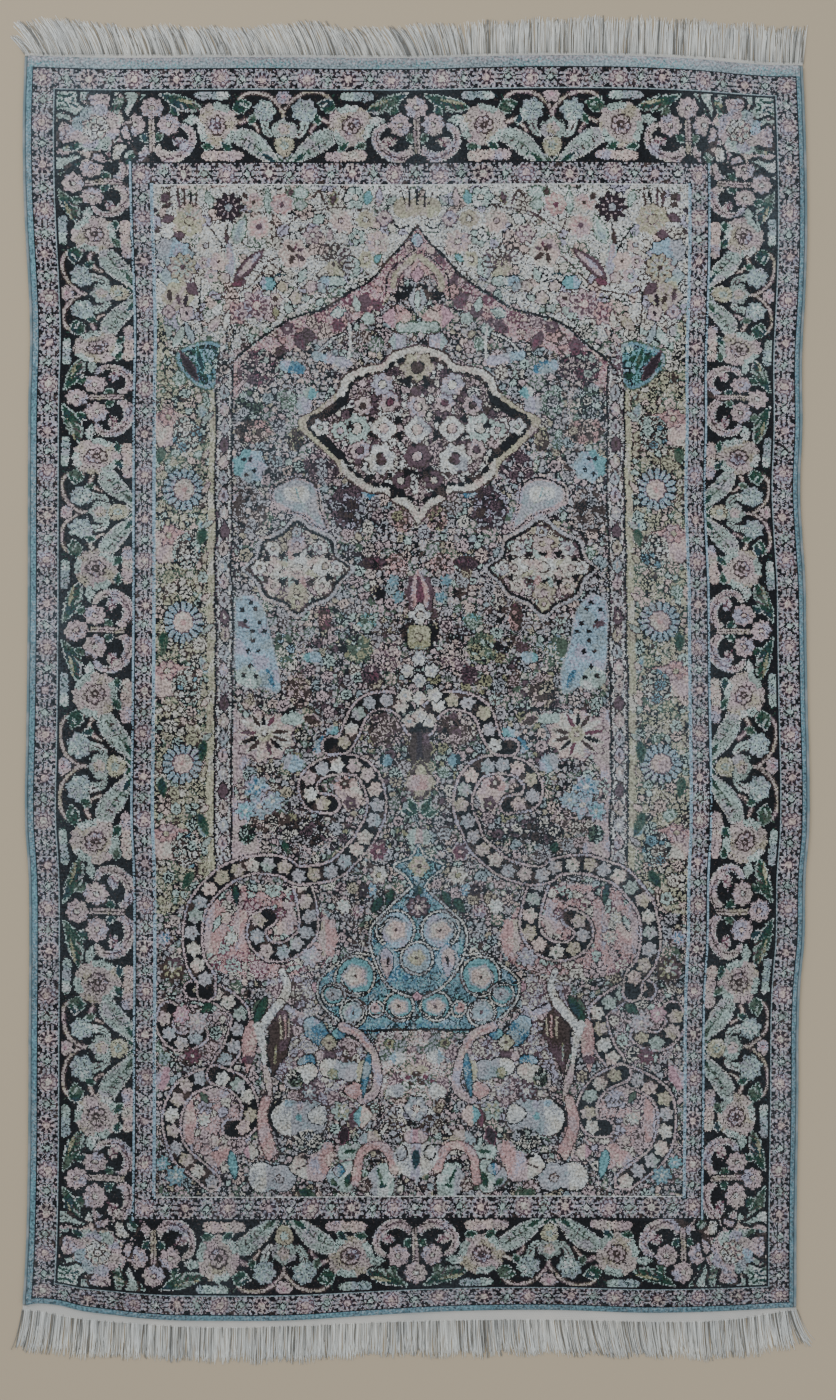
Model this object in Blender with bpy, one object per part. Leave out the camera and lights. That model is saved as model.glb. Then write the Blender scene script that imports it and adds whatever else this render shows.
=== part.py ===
# A hand-knotted kashmir rug lying flat: one pile slab, two overcast sides and two fringed ends.
# Frame: the origin is in the middle of the pile's underside, +Y runs toward the straighter end
# of the rug, +Z is up, and every length is in metres.

from collections import namedtuple

import bmesh
import bpy
import numpy as np

MM = 0.001

# Driving sizes
PILE_THICKNESS = 5.5 * MM
PILE_LENGTH = 1530 * MM
PILE_EDGE_DROP = 1.6 * MM
PILE_EDGE_ROUND = 3.0 * MM
UNEVENNESS = 0.35 * MM
NOMINAL_HALF_WIDTH = 474 * MM
SIDE_CORD_DIAMETER = 4.0 * MM
SIDE_CORD_SHORT = 1.2 * MM
FRINGE_THICKNESS = 2.0 * MM
PIECE_GAP = 0.35 * MM

# How finely the slab is divided
PILE_COLUMNS = 30
PILE_ROWS = 60

Station = namedtuple("Station", "along out")
FringeStation = namedtuple("FringeStation", "x strip_end tips lean")
Fringe = namedtuple("Fringe", "strands root middle tip spacing cut partings apart")
Parting = namedtuple("Parting", "x width")
Apart = namedtuple("Apart", "strand x y width")

# Outer line of each side, in millimetres: place along the side, distance from the middle line
LEFT_SIDE = (
    Station(along=-757, out=-481.6),
    Station(along=-689, out=-477.7),
    Station(along=-594, out=-475.3),
    Station(along=-412, out=-474.1),
    Station(along=-331, out=-473.4),
    Station(along=-214, out=-475.2),
    Station(along=-176, out=-478.2),
    Station(along=-135, out=-478.8),
    Station(along=-87, out=-477.7),
    Station(along=36, out=-475.8),
    Station(along=265, out=-475.0),
    Station(along=352, out=-474.4),
    Station(along=430, out=-472.4),
    Station(along=491, out=-474.6),
    Station(along=549, out=-478.0),
    Station(along=612, out=-480.6),
    Station(along=693, out=-481.2),
    Station(along=768, out=-478.8),
)
RIGHT_SIDE = (
    Station(along=-757, out=463.2),
    Station(along=-628, out=463.7),
    Station(along=-506, out=465.6),
    Station(along=-384, out=467.0),
    Station(along=-354, out=468.8),
    Station(along=-320, out=472.4),
    Station(along=-224, out=475.0),
    Station(along=-184, out=478.6),
    Station(along=-140, out=479.4),
    Station(along=-18, out=476.8),
    Station(along=68, out=475.3),
    Station(along=130, out=474.2),
    Station(along=172, out=471.2),
    Station(along=235, out=467.8),
    Station(along=317, out=470.6),
    Station(along=403, out=470.2),
    Station(along=460, out=473.2),
    Station(along=520, out=475.8),
    Station(along=671, out=474.6),
    Station(along=756, out=471.1),
)

# Outer line of the pile at each end, in millimetres: place across the rug, distance out
UPPER_END = (
    Station(along=-480, out=768.5),
    Station(along=-430, out=766.4),
    Station(along=-180, out=766.2),
    Station(along=-8, out=765.0),
    Station(along=145, out=768.4),
    Station(along=294, out=766.8),
    Station(along=355, out=763.4),
    Station(along=402, out=758.8),
    Station(along=437, out=756.4),
    Station(along=472, out=756.2),
)
LOWER_END = (
    Station(along=-480, out=-758.0),
    Station(along=-465, out=-753.6),
    Station(along=-453, out=-751.6),
    Station(along=-439, out=-754.6),
    Station(along=-416, out=-760.4),
    Station(along=-364, out=-767.6),
    Station(along=-322, out=-772.3),
    Station(along=-228, out=-774.7),
    Station(along=-145, out=-774.1),
    Station(along=-57, out=-768.6),
    Station(along=4, out=-764.9),
    Station(along=185, out=-761.4),
    Station(along=290, out=-764.8),
    Station(along=409, out=-761.8),
    Station(along=464, out=-758.6),
)

# The fringed ends, in millimetres: place across, outer line of the flat-woven strip,
# line of the strands' tips, and how far a tip lies to the right of its root
UPPER_FRINGE = (
    FringeStation(x=-480, strip_end=772.6, tips=808.0, lean=-20),
    FringeStation(x=-444, strip_end=770.4, tips=814.0, lean=-23),
    FringeStation(x=-388, strip_end=770.4, tips=812.0, lean=-19),
    FringeStation(x=-350, strip_end=770.4, tips=804.5, lean=-13),
    FringeStation(x=-300, strip_end=770.2, tips=806.0, lean=-15),
    FringeStation(x=-175, strip_end=770.2, tips=805.0, lean=-17),
    FringeStation(x=-120, strip_end=769.8, tips=811.0, lean=-17),
    FringeStation(x=-60, strip_end=769.2, tips=803.0, lean=-18),
    FringeStation(x=0, strip_end=769.0, tips=806.0, lean=-19),
    FringeStation(x=50, strip_end=770.2, tips=809.0, lean=-9),
    FringeStation(x=90, strip_end=771.4, tips=811.0, lean=0),
    FringeStation(x=150, strip_end=772.4, tips=814.6, lean=0),
    FringeStation(x=230, strip_end=772.0, tips=816.0, lean=1),
    FringeStation(x=320, strip_end=769.8, tips=813.8, lean=2),
    FringeStation(x=370, strip_end=766.4, tips=809.0, lean=1),
    FringeStation(x=437, strip_end=760.6, tips=805.0, lean=2),
    FringeStation(x=472, strip_end=760.4, tips=803.0, lean=4),
)
LOWER_FRINGE = (
    FringeStation(x=-480, strip_end=-762.6, tips=-808.0, lean=-9),
    FringeStation(x=-453, strip_end=-766.4, tips=-815.0, lean=-7),
    FringeStation(x=-427, strip_end=-771.4, tips=-818.5, lean=-5),
    FringeStation(x=-345, strip_end=-779.4, tips=-822.0, lean=-2),
    FringeStation(x=-264, strip_end=-784.2, tips=-825.5, lean=-1),
    FringeStation(x=-145, strip_end=-782.4, tips=-826.0, lean=-1),
    FringeStation(x=-57, strip_end=-778.6, tips=-819.0, lean=0),
    FringeStation(x=60, strip_end=-775.4, tips=-820.0, lean=2),
    FringeStation(x=145, strip_end=-774.8, tips=-817.0, lean=5),
    FringeStation(x=215, strip_end=-775.8, tips=-818.5, lean=9),
    FringeStation(x=300, strip_end=-777.4, tips=-821.0, lean=6),
    FringeStation(x=360, strip_end=-776.6, tips=-822.5, lean=4),
    FringeStation(x=405, strip_end=-772.0, tips=-818.0, lean=5),
    FringeStation(x=440, strip_end=-765.6, tips=-811.0, lean=8),
    FringeStation(x=464, strip_end=-762.6, tips=-806.0, lean=10),
)

# Each fringe: its strands, the share of the pitch that a strand fills at root, middle and tip,
# how unevenly strands are spaced and cut, where they part, and the ones that lie apart
UPPER = Fringe(
    strands=79,
    root=0.58,
    middle=0.62,
    tip=0.40,
    spacing=0.7 * MM,
    cut=1.6 * MM,
    partings=(Parting(x=-333, width=2.2),),
    apart=(Apart(strand=0, x=-492.5, y=794.0, width=2.6), Apart(strand=1, x=-488, y=811, width=3.4)),
)
LOWER = Fringe(
    strands=93,
    root=0.58,
    middle=0.62,
    tip=0.42,
    spacing=0.5 * MM,
    cut=2.0 * MM,
    partings=(Parting(x=-420, width=1.6), Parting(x=254, width=1.4), Parting(x=403, width=1.4)),
    apart=(Apart(strand=92, x=475.5, y=-806.0, width=6.4),),
)
PARTING_REACH = 16 * MM

PILE_COLOUR = (0.32, 0.30, 0.29, 1.0)
SIDE_COLOUR = (0.22, 0.38, 0.46, 1.0)
FRINGE_COLOUR = (0.62, 0.61, 0.56, 1.0)


def curve_through(stations, column, at):
    """Smooth curve through one column of a table, with the slopes of the chords beside each row."""
    places = np.array([row[0] for row in stations]) * MM
    values = np.array([getattr(row, column) for row in stations]) * MM
    slopes = np.gradient(values, places)
    at = np.clip(at, places[0], places[-1])
    k = np.clip(np.searchsorted(places, at) - 1, 0, len(places) - 2)
    step = places[k + 1] - places[k]
    t = (at - places[k]) / step
    leave = t * (1 - t) ** 2 * step * slopes[k]
    arrive = t * t * (t - 1) * step * slopes[k + 1]
    return values[k] + t * t * (3 - 2 * t) * (values[k + 1] - values[k]) + leave + arrive


def banded(count, length):
    """Grid places from 0 to 1, with one narrow band at each end for the rounded edge."""
    band = PILE_EDGE_ROUND / length
    return np.concatenate([[0.0], np.linspace(band, 1 - band, count - 1), [1.0]])


def pile_grid():
    """Points of the pile's grid, as rows from the lower end up, with columns from left to right."""
    across = banded(PILE_COLUMNS, 2 * NOMINAL_HALF_WIDTH)
    along = banded(PILE_ROWS, PILE_LENGTH)[:, None]
    nominal = (2 * across - 1) * NOMINAL_HALF_WIDTH
    lower = curve_through(LOWER_END, "out", nominal)
    upper = curve_through(UPPER_END, "out", nominal)
    y = lower + (upper - lower) * along
    inset = SIDE_CORD_DIAMETER + PIECE_GAP
    left = curve_through(LEFT_SIDE, "out", y) + inset
    right = curve_through(RIGHT_SIDE, "out", y) - inset
    return left + (right - left) * across, y


def new_grid(columns, rows):
    """A flat mesh grid, and its vertices by column and row."""
    bm = bmesh.new()
    bmesh.ops.create_grid(bm, x_segments=columns, y_segments=rows, size=0.5)
    verts = {}
    for vert in bm.verts:
        column = round((vert.co.x + 0.5) * columns)
        row = round((vert.co.y + 0.5) * rows)
        verts[column, row] = vert
    return bm, verts


def thicken(bm, thickness):
    """Turns a flat mesh at the floor into a closed body and returns the points of its top."""
    made = bmesh.ops.extrude_face_region(bm, geom=bm.faces[:])
    top = [item for item in made["geom"] if isinstance(item, bmesh.types.BMVert)]
    bmesh.ops.translate(bm, verts=top, vec=(0, 0, thickness))
    bmesh.ops.recalc_face_normals(bm, faces=bm.faces[:])
    return top


def material(name, colour, roughness):
    made = bpy.data.materials.new(name)
    made.use_nodes = True
    shader = made.node_tree.nodes["Principled BSDF"]
    shader.inputs["Base Color"].default_value = colour
    shader.inputs["Roughness"].default_value = roughness
    shader.inputs["Metallic"].default_value = 0.0
    return made


def new_object(name, data, finish, collection):
    made = bpy.data.objects.new(name, data)
    data.materials.append(finish)
    collection.objects.link(made)
    return made


def mesh_from(bm, name):
    mesh = bpy.data.meshes.new(name)
    bm.to_mesh(mesh)
    bm.free()
    return mesh


def make_pile(finish, collection):
    """The pile: a slab with the rug's own outline, a flat underside and a faintly wavy top."""
    x, y = pile_grid()
    bm, verts = new_grid(PILE_COLUMNS, PILE_ROWS)
    for (column, row), vert in verts.items():
        vert.co = (x[row, column], y[row, column], 0.0)
    rim = {tuple(vert.co.xy) for vert in bm.verts if vert.is_boundary}
    for vert in thicken(bm, PILE_THICKNESS):
        wave = np.sin(vert.co.x / 0.10 + 0.8) * np.cos(vert.co.y / 0.16)
        wave += np.sin(vert.co.y / 0.085 + 2 * vert.co.x)
        vert.co.z += UNEVENNESS * wave
        if tuple(vert.co.xy) in rim:
            vert.co.z -= PILE_EDGE_DROP
    underside = [face for face in bm.faces if all(vert.co.z == 0.0 for vert in face.verts)]
    bmesh.ops.dissolve_faces(bm, faces=underside)
    return new_object("pile", mesh_from(bm, "pile"), finish, collection)


def make_side_cord(name, side, column, finish, collection):
    """An overcast side: a cord bound along the pile's edge, as a tube on that edge's line."""
    radius = SIDE_CORD_DIAMETER / 2
    y = pile_grid()[1][:, column].copy()
    y[0] += SIDE_CORD_SHORT
    y[-1] -= SIDE_CORD_SHORT
    outer = curve_through(side, "out", y)
    x = outer - np.sign(outer) * radius
    curve = bpy.data.curves.new(name, "CURVE")
    curve.dimensions = "3D"
    curve.bevel_depth = radius
    curve.bevel_resolution = 2
    curve.use_fill_caps = True
    spline = curve.splines.new("POLY")
    spline.points.add(len(y) - 1)
    for point, px, py in zip(spline.points, x, y):
        point.co = (px, py, radius, 1.0)
    return new_object(name, curve, finish, collection)


def strand_roots(fringe, left, right):
    """Middles of the strands' roots, evenly pitched, then nudged and parted."""
    pitch = (right - left) / fringe.strands
    index = np.arange(fringe.strands)
    roots = left + pitch * (index + 0.5) + fringe.spacing * np.sin(2.4 * index)
    for parting in fringe.partings:
        away = roots - parting.x * MM
        push = np.exp(-np.abs(away) / PARTING_REACH) * parting.width * MM
        roots = roots + np.sign(away) * push
    return roots, pitch


def strand_tips(fringe, stations, roots, pitch):
    """Place and width of each strand's tip: x, y and half width."""
    index = np.arange(fringe.strands)
    x = roots + curve_through(stations, "lean", roots) + fringe.spacing * np.sin(1.7 * index)
    y = curve_through(stations, "tips", roots) + fringe.cut * np.sin(5.1 * index)
    half = np.full(fringe.strands, fringe.tip * pitch / 2)
    for one in fringe.apart:
        x[one.strand] = one.x * MM
        y[one.strand] = one.y * MM
        half[one.strand] = one.width * MM / 2
    return x, y, half


def make_fringe(name, fringe, stations, pile_row, finish, collection):
    """A fringed end: a flat-woven strip beside the pile, with strands that grow out of its edge."""
    x, y = pile_grid()
    outward = np.sign(y[pile_row, 0])
    left = curve_through(LEFT_SIDE, "out", y[pile_row, 0])
    right = curve_through(RIGHT_SIDE, "out", y[pile_row, -1])
    roots, pitch = strand_roots(fringe, left, right)
    half_root = fringe.root * pitch / 2
    lines = np.stack([roots - half_root, roots + half_root], axis=1).ravel()
    lines = np.concatenate([[left], lines, [right]])
    inner = np.interp(lines, x[pile_row], y[pile_row]) + outward * PIECE_GAP
    outer = curve_through(stations, "strip_end", lines)
    bm, verts = new_grid(len(lines) - 1, 1)
    for column, place in enumerate(lines):
        verts[column, 0].co = (place, inner[column], 0.0)
        verts[column, 1].co = (place, outer[column], 0.0)
    tip_x, tip_y, tip_half = strand_tips(fringe, stations, roots, pitch)
    for strand, root in enumerate(roots):
        first = 2 * strand + 1
        root_y = (outer[first] + outer[first + 1]) / 2
        middle_x = 0.55 * root + 0.45 * tip_x[strand]
        middle_y = 0.45 * root_y + 0.55 * tip_y[strand]
        steps = (
            (middle_x, middle_y, fringe.middle * pitch / 2),
            (tip_x[strand], tip_y[strand], tip_half[strand]),
        )
        ends = [verts[first, 1], verts[first + 1, 1]]
        for end_x, end_y, half in steps:
            made = bmesh.ops.extrude_edge_only(bm, edges=[bm.edges.get(ends)])
            ends = [item for item in made["geom"] if isinstance(item, bmesh.types.BMVert)]
            ends.sort(key=lambda vert: vert.co.x)
            ends[0].co = (end_x - half, end_y, 0.0)
            ends[1].co = (end_x + half, end_y, 0.0)
    thicken(bm, FRINGE_THICKNESS)
    return new_object(name, mesh_from(bm, name), finish, collection)


def build():
    for old in list(bpy.data.objects):
        bpy.data.objects.remove(old, do_unlink=True)
    rug = bpy.data.collections.new("kashmir_rug")
    bpy.context.scene.collection.children.link(rug)
    pile = material("pile_wool_and_silk", PILE_COLOUR, 0.85)
    side = material("side_yarn", SIDE_COLOUR, 0.85)
    fringe = material("warp_yarn", FRINGE_COLOUR, 0.9)
    make_pile(pile, rug)
    make_side_cord("side_cord_left", LEFT_SIDE, 0, side, rug)
    make_side_cord("side_cord_right", RIGHT_SIDE, -1, side, rug)
    make_fringe("fringe_upper", UPPER, UPPER_FRINGE, -1, fringe, rug)
    make_fringe("fringe_lower", LOWER, LOWER_FRINGE, 0, fringe, rug)


build()
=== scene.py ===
import bpy
import numpy as np
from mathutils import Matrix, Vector


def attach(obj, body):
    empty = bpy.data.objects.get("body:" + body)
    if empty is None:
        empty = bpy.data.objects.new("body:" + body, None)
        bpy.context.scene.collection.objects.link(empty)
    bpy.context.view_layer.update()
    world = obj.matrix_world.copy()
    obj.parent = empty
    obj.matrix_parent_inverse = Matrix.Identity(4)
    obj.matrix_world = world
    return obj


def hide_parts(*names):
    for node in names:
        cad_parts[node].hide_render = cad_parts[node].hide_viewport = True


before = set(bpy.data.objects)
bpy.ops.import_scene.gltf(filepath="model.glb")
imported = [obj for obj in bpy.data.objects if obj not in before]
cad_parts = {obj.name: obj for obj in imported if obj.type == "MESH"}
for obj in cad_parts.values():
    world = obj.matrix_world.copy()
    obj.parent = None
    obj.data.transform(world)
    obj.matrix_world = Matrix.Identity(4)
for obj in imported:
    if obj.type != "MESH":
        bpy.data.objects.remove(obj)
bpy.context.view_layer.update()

mm = 0.001


def stage(text):
    print("kashmir rug:", text)


def seenColour(r, g, b):
    # From 0..255 as the eye sees it to the linear values that shaders mix
    seen = np.array([r, g, b]) / 255
    linear = np.where(seen <= 0.04045, seen / 12.92, ((seen + 0.055) / 1.055) ** 2.4)
    return (*linear, 1.0)


class Dye:
    # A node socket that can be used in sums: a + b, 1 - mask, noise * 0.2 and the like add Math nodes

    def __init__(self, tree, socket=None):
        self.tree, self.socket = tree, socket

    def node(self, kind, settings=None, stops=None, output=0, **inputs):
        # settings are the node's own properties, stops a ramp's (place, colour) pairs, inputs its sockets
        made = self.tree.nodes.new(kind)
        for name, value in (settings or {}).items():
            setattr(made, name, value)
        if stops:
            ramp = made.color_ramp
            ramp.interpolation = "CONSTANT"
            while len(ramp.elements) < len(stops):
                ramp.elements.new(1.0)
            for element, (place, colour) in zip(ramp.elements, stops):
                element.position = place
                element.color = colour
        for name, value in inputs.items():
            socket = made.inputs[int(name[1:])] if name[1:].isdigit() else made.inputs[name.replace("_", " ")]
            if isinstance(value, Dye):
                self.tree.links.new(value.socket, socket)
            else:
                socket.default_value = value
        return Dye(self.tree, made.outputs[output])

    def maths(self, operation, first, second=0.0, third=0.0):
        return self.node("ShaderNodeMath", {"operation": operation}, i0=first, i1=second, i2=third)

    def __add__(self, other):
        return self.maths("ADD", self, other)

    def __sub__(self, other):
        return self.maths("SUBTRACT", self, other)

    def __rsub__(self, other):
        return self.maths("SUBTRACT", other, self)

    def __mul__(self, other):
        return self.maths("MULTIPLY", self, other)

    def __truediv__(self, other):
        return self.maths("DIVIDE", self, other)

    def __gt__(self, other):
        return self.maths("GREATER_THAN", self, other)

    __radd__, __rmul__ = __add__, __mul__

    def fraction(self):
        return self.maths("FRACT", self)

    def span(self, low, high, toLow=0.0, toHigh=1.0):
        # Straight line from low..high to toLow..toHigh, held at its ends
        return self.node("ShaderNodeMapRange", Value=self, From_Min=low, From_Max=high, To_Min=toLow,
                         To_Max=toHigh)

    def axes(self):
        parted = self.node("ShaderNodeSeparateXYZ", Vector=self).socket.node
        return [Dye(self.tree, socket) for socket in parted.outputs]

    def tinted(self, strength):
        # A colour made lighter or darker by a number
        return self.node("ShaderNodeVectorMath", {"operation": "SCALE"}, Vector=self, Scale=strength)

    def between(self, first, second):
        # This share's mix of two colours or vectors
        return self.node("ShaderNodeMix", {"data_type": "RGBA"}, output=2, Factor=self, i6=first, i7=second)

    def toward(self, other, share):
        return share.between(self, other)


def newCloth(name, roughness, sheen, sheenRoughness=0.5):
    # A cloth material: its tree's starting wire, its shader and object coordinates
    made = bpy.data.materials.new(name)
    made.use_nodes = True
    shader = made.node_tree.nodes["Principled BSDF"]
    shader.inputs["Roughness"].default_value = roughness
    shader.inputs["Sheen Weight"].default_value = sheen
    shader.inputs["Sheen Roughness"].default_value = sheenRoughness
    shader.inputs["Specular IOR Level"].default_value = 0.25
    wire = Dye(made.node_tree)
    place = wire.node("ShaderNodeTexCoord", output=3)
    return made, wire, shader, place


def finishCloth(wire, shader, colour, height=None, depth=0.0, roughness=None):
    # Feeds the colour, a bump of the given depth in metres, and a roughness where it varies
    wire.tree.links.new(colour.socket, shader.inputs["Base Color"])
    if height is not None:
        bump = wire.node("ShaderNodeBump", Height=height, Distance=depth, Strength=1.0)
        wire.tree.links.new(bump.socket, shader.inputs["Normal"])
    if roughness is not None:
        wire.tree.links.new(roughness.socket, shader.inputs["Roughness"])


def noise(wire, place, size, detail=2.0, stretch=(1.0, 1.0, 1.0)):
    # Noise whose lumps are about the given size in metres, longer along an axis by its stretch
    scaled = wire.node("ShaderNodeMapping", Vector=place, Scale=[1 / (size * s) for s in stretch])
    return wire.node("ShaderNodeTexNoise", Vector=scaled, Scale=1.0, Detail=detail)


def gridFaces(rows, columns, around=False):
    # Corner numbers of the quads between the points of a grid, row by row
    row, column = np.meshgrid(np.arange(rows - 1), np.arange(columns if around else columns - 1),
                              indexing="ij")
    after = (column + 1) % columns
    return np.stack([row * columns + column, row * columns + after, (row + 1) * columns + after,
                     (row + 1) * columns + column], axis=-1).reshape(-1, 4)


def layMesh(name, points, quads, finish, ends=()):
    # A smooth mesh object from points and quads, with a few many-sided faces for closed ends
    corners = [np.asarray(quads).ravel()] + [np.asarray(face) for face in ends]
    sizes = np.concatenate([np.full(len(quads), 4), [len(face) for face in ends]]).astype(int)
    mesh = bpy.data.meshes.new(name)
    mesh.vertices.add(len(points))
    mesh.vertices.foreach_set("co", np.asarray(points, np.float32).ravel())
    mesh.loops.add(sizes.sum())
    mesh.loops.foreach_set("vertex_index", np.concatenate(corners).astype(np.int32))
    mesh.polygons.add(len(sizes))
    mesh.polygons.foreach_set("loop_start", (np.cumsum(sizes) - sizes).astype(np.int32))
    mesh.polygons.foreach_set("use_smooth", np.ones(len(sizes), bool))
    mesh.update(calc_edges=True)
    mesh.validate()
    piece = bpy.data.objects.new(name, mesh)
    bpy.context.scene.collection.objects.link(piece)
    mesh.materials.append(finish)
    return piece


def smoothCurve(places, values, at):
    # Cubic through the points, each slope that of the chords beside it
    places, values = np.asarray(places, float), np.asarray(values, float)
    slopes = np.gradient(values, places)
    at = np.clip(at, places[0], places[-1])
    k = np.clip(np.searchsorted(places, at) - 1, 0, len(places) - 2)
    step = places[k + 1] - places[k]
    t = (at - places[k]) / step
    bend = t * (1 - t) ** 2 * slopes[k] + t * t * (t - 1) * slopes[k + 1]
    return values[k] + t * t * (3 - 2 * t) * (values[k + 1] - values[k]) + step * bend


def paintMesh(piece, name, kind, where, values):
    # Values of the mesh's own on its points, faces or corners, for the material to read
    layer = piece.data.attributes.new(name, kind, where)
    field = "vector" if kind == "FLOAT_VECTOR" else "value"
    layer.data.foreach_set(field, np.asarray(values, np.float32).ravel())


yarns = {           # the dyer's list: name, then its colour as 0 to 255 red, green, blue
    "navy": (21, 24, 30), "teal": (112, 148, 164), "deepTeal": (38, 64, 73), "ash": (173, 172, 179),
    "beige": (187, 175, 172), "rose": (189, 170, 175), "pink": (189, 153, 166), "salmon": (188, 152, 152),
    "cream": (199, 197, 189), "sage": (155, 170, 165), "fern": (34, 70, 58), "mint": (171, 193, 189),
    "sky": (152, 181, 200), "lilac": (172, 171, 190), "slate": (150, 167, 175), "mauve": (95, 76, 86),
    "umber": (70, 58, 56), "olive": (149, 149, 121), "straw": (177, 177, 153), "ruby": (108, 68, 84),
    "white": (207, 211, 211), "moss": (79, 97, 84), "aqua": (114, 165, 173), "plum": (50, 40, 49),
    "blue": (66, 114, 142), "sand": (175, 168, 150), "shell": (203, 184, 178), "fog": (166, 171, 180),
}
yarnNumber = {name: number for number, name in enumerate(yarns)}
(navy, teal, deepTeal, ash, beige, rose, pink, salmon, cream, sage, fern, mint, sky, lilac, slate, mauve,
 umber, olive, straw, ruby, white, moss, aqua, plum, blue, sand, shell, fog) = yarns

dyeLots = {                                 # pale yarns run out and go on in their nearest kin
    ash: (fog, ash, beige), beige: (rose, beige, sand), rose: (lilac, rose, beige),
    shell: (rose, shell, cream), cream: (shell, cream, white), salmon: (rose, salmon, shell),
    sage: (mint, sage, ash), mint: (sage, mint, white), sky: (slate, sky, lilac),
    slate: (fog, slate, mint), straw: (sand, straw, cream), lilac: (fog, lilac, rose),
    fog: (slate, fog, ash), olive: (sage, olive, straw), sand: (beige, sand, straw),
    fern: (moss, fern, deepTeal), navy: (umber, navy, navy), ruby: (mauve, ruby, ruby),
    blue: (slate, blue, teal), white: (fog, white, cream), umber: (mauve, umber, umber),
           teal: (slate, teal, teal),
}

rugPlan = {                                 # the cartoon's own sizes, in millimetres
    "halfWidth": 474.0, "halfLength": 766.0, "columns": 720, "rows": 1164,
    "outerGuard": 40.0, "main": 126.5,
    "wobble": 0.9, "slip": 0.5,             # how far lines bend, and how far one knot strays
}


def smoothLine(points, spacing):
    # Places along a path at even steps: a cubic through its points, each slope that of the chords beside it.
    # The points are pairs, or one row of numbers with x and y in turn
    points = np.reshape(points, (-1, 2)).astype(float)
    before = np.vstack([2 * points[0] - points[1], points[:-1]])
    after = np.vstack([points[1:], 2 * points[-1] - points[-2]])
    slopes = (after - before) / 2
    t = np.linspace(0, 1, 24, endpoint=False)[:, None]
    pieces = []
    for k in range(len(points) - 1):
        rise = points[k + 1] - points[k]
        pieces.append(points[k] + t * t * (3 - 2 * t) * rise + t * (1 - t) ** 2 * slopes[k]
                      + t * t * (t - 1) * slopes[k + 1])
    line = np.vstack(pieces + [points[-1:]])
    run = np.concatenate([[0], np.cumsum(np.hypot(*np.diff(line, axis=0).T))])
    steps = np.arange(0, run[-1] + spacing * 0.5, spacing)
    return np.stack([np.interp(steps, run, line[:, 0]), np.interp(steps, run, line[:, 1])], axis=1)


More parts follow.
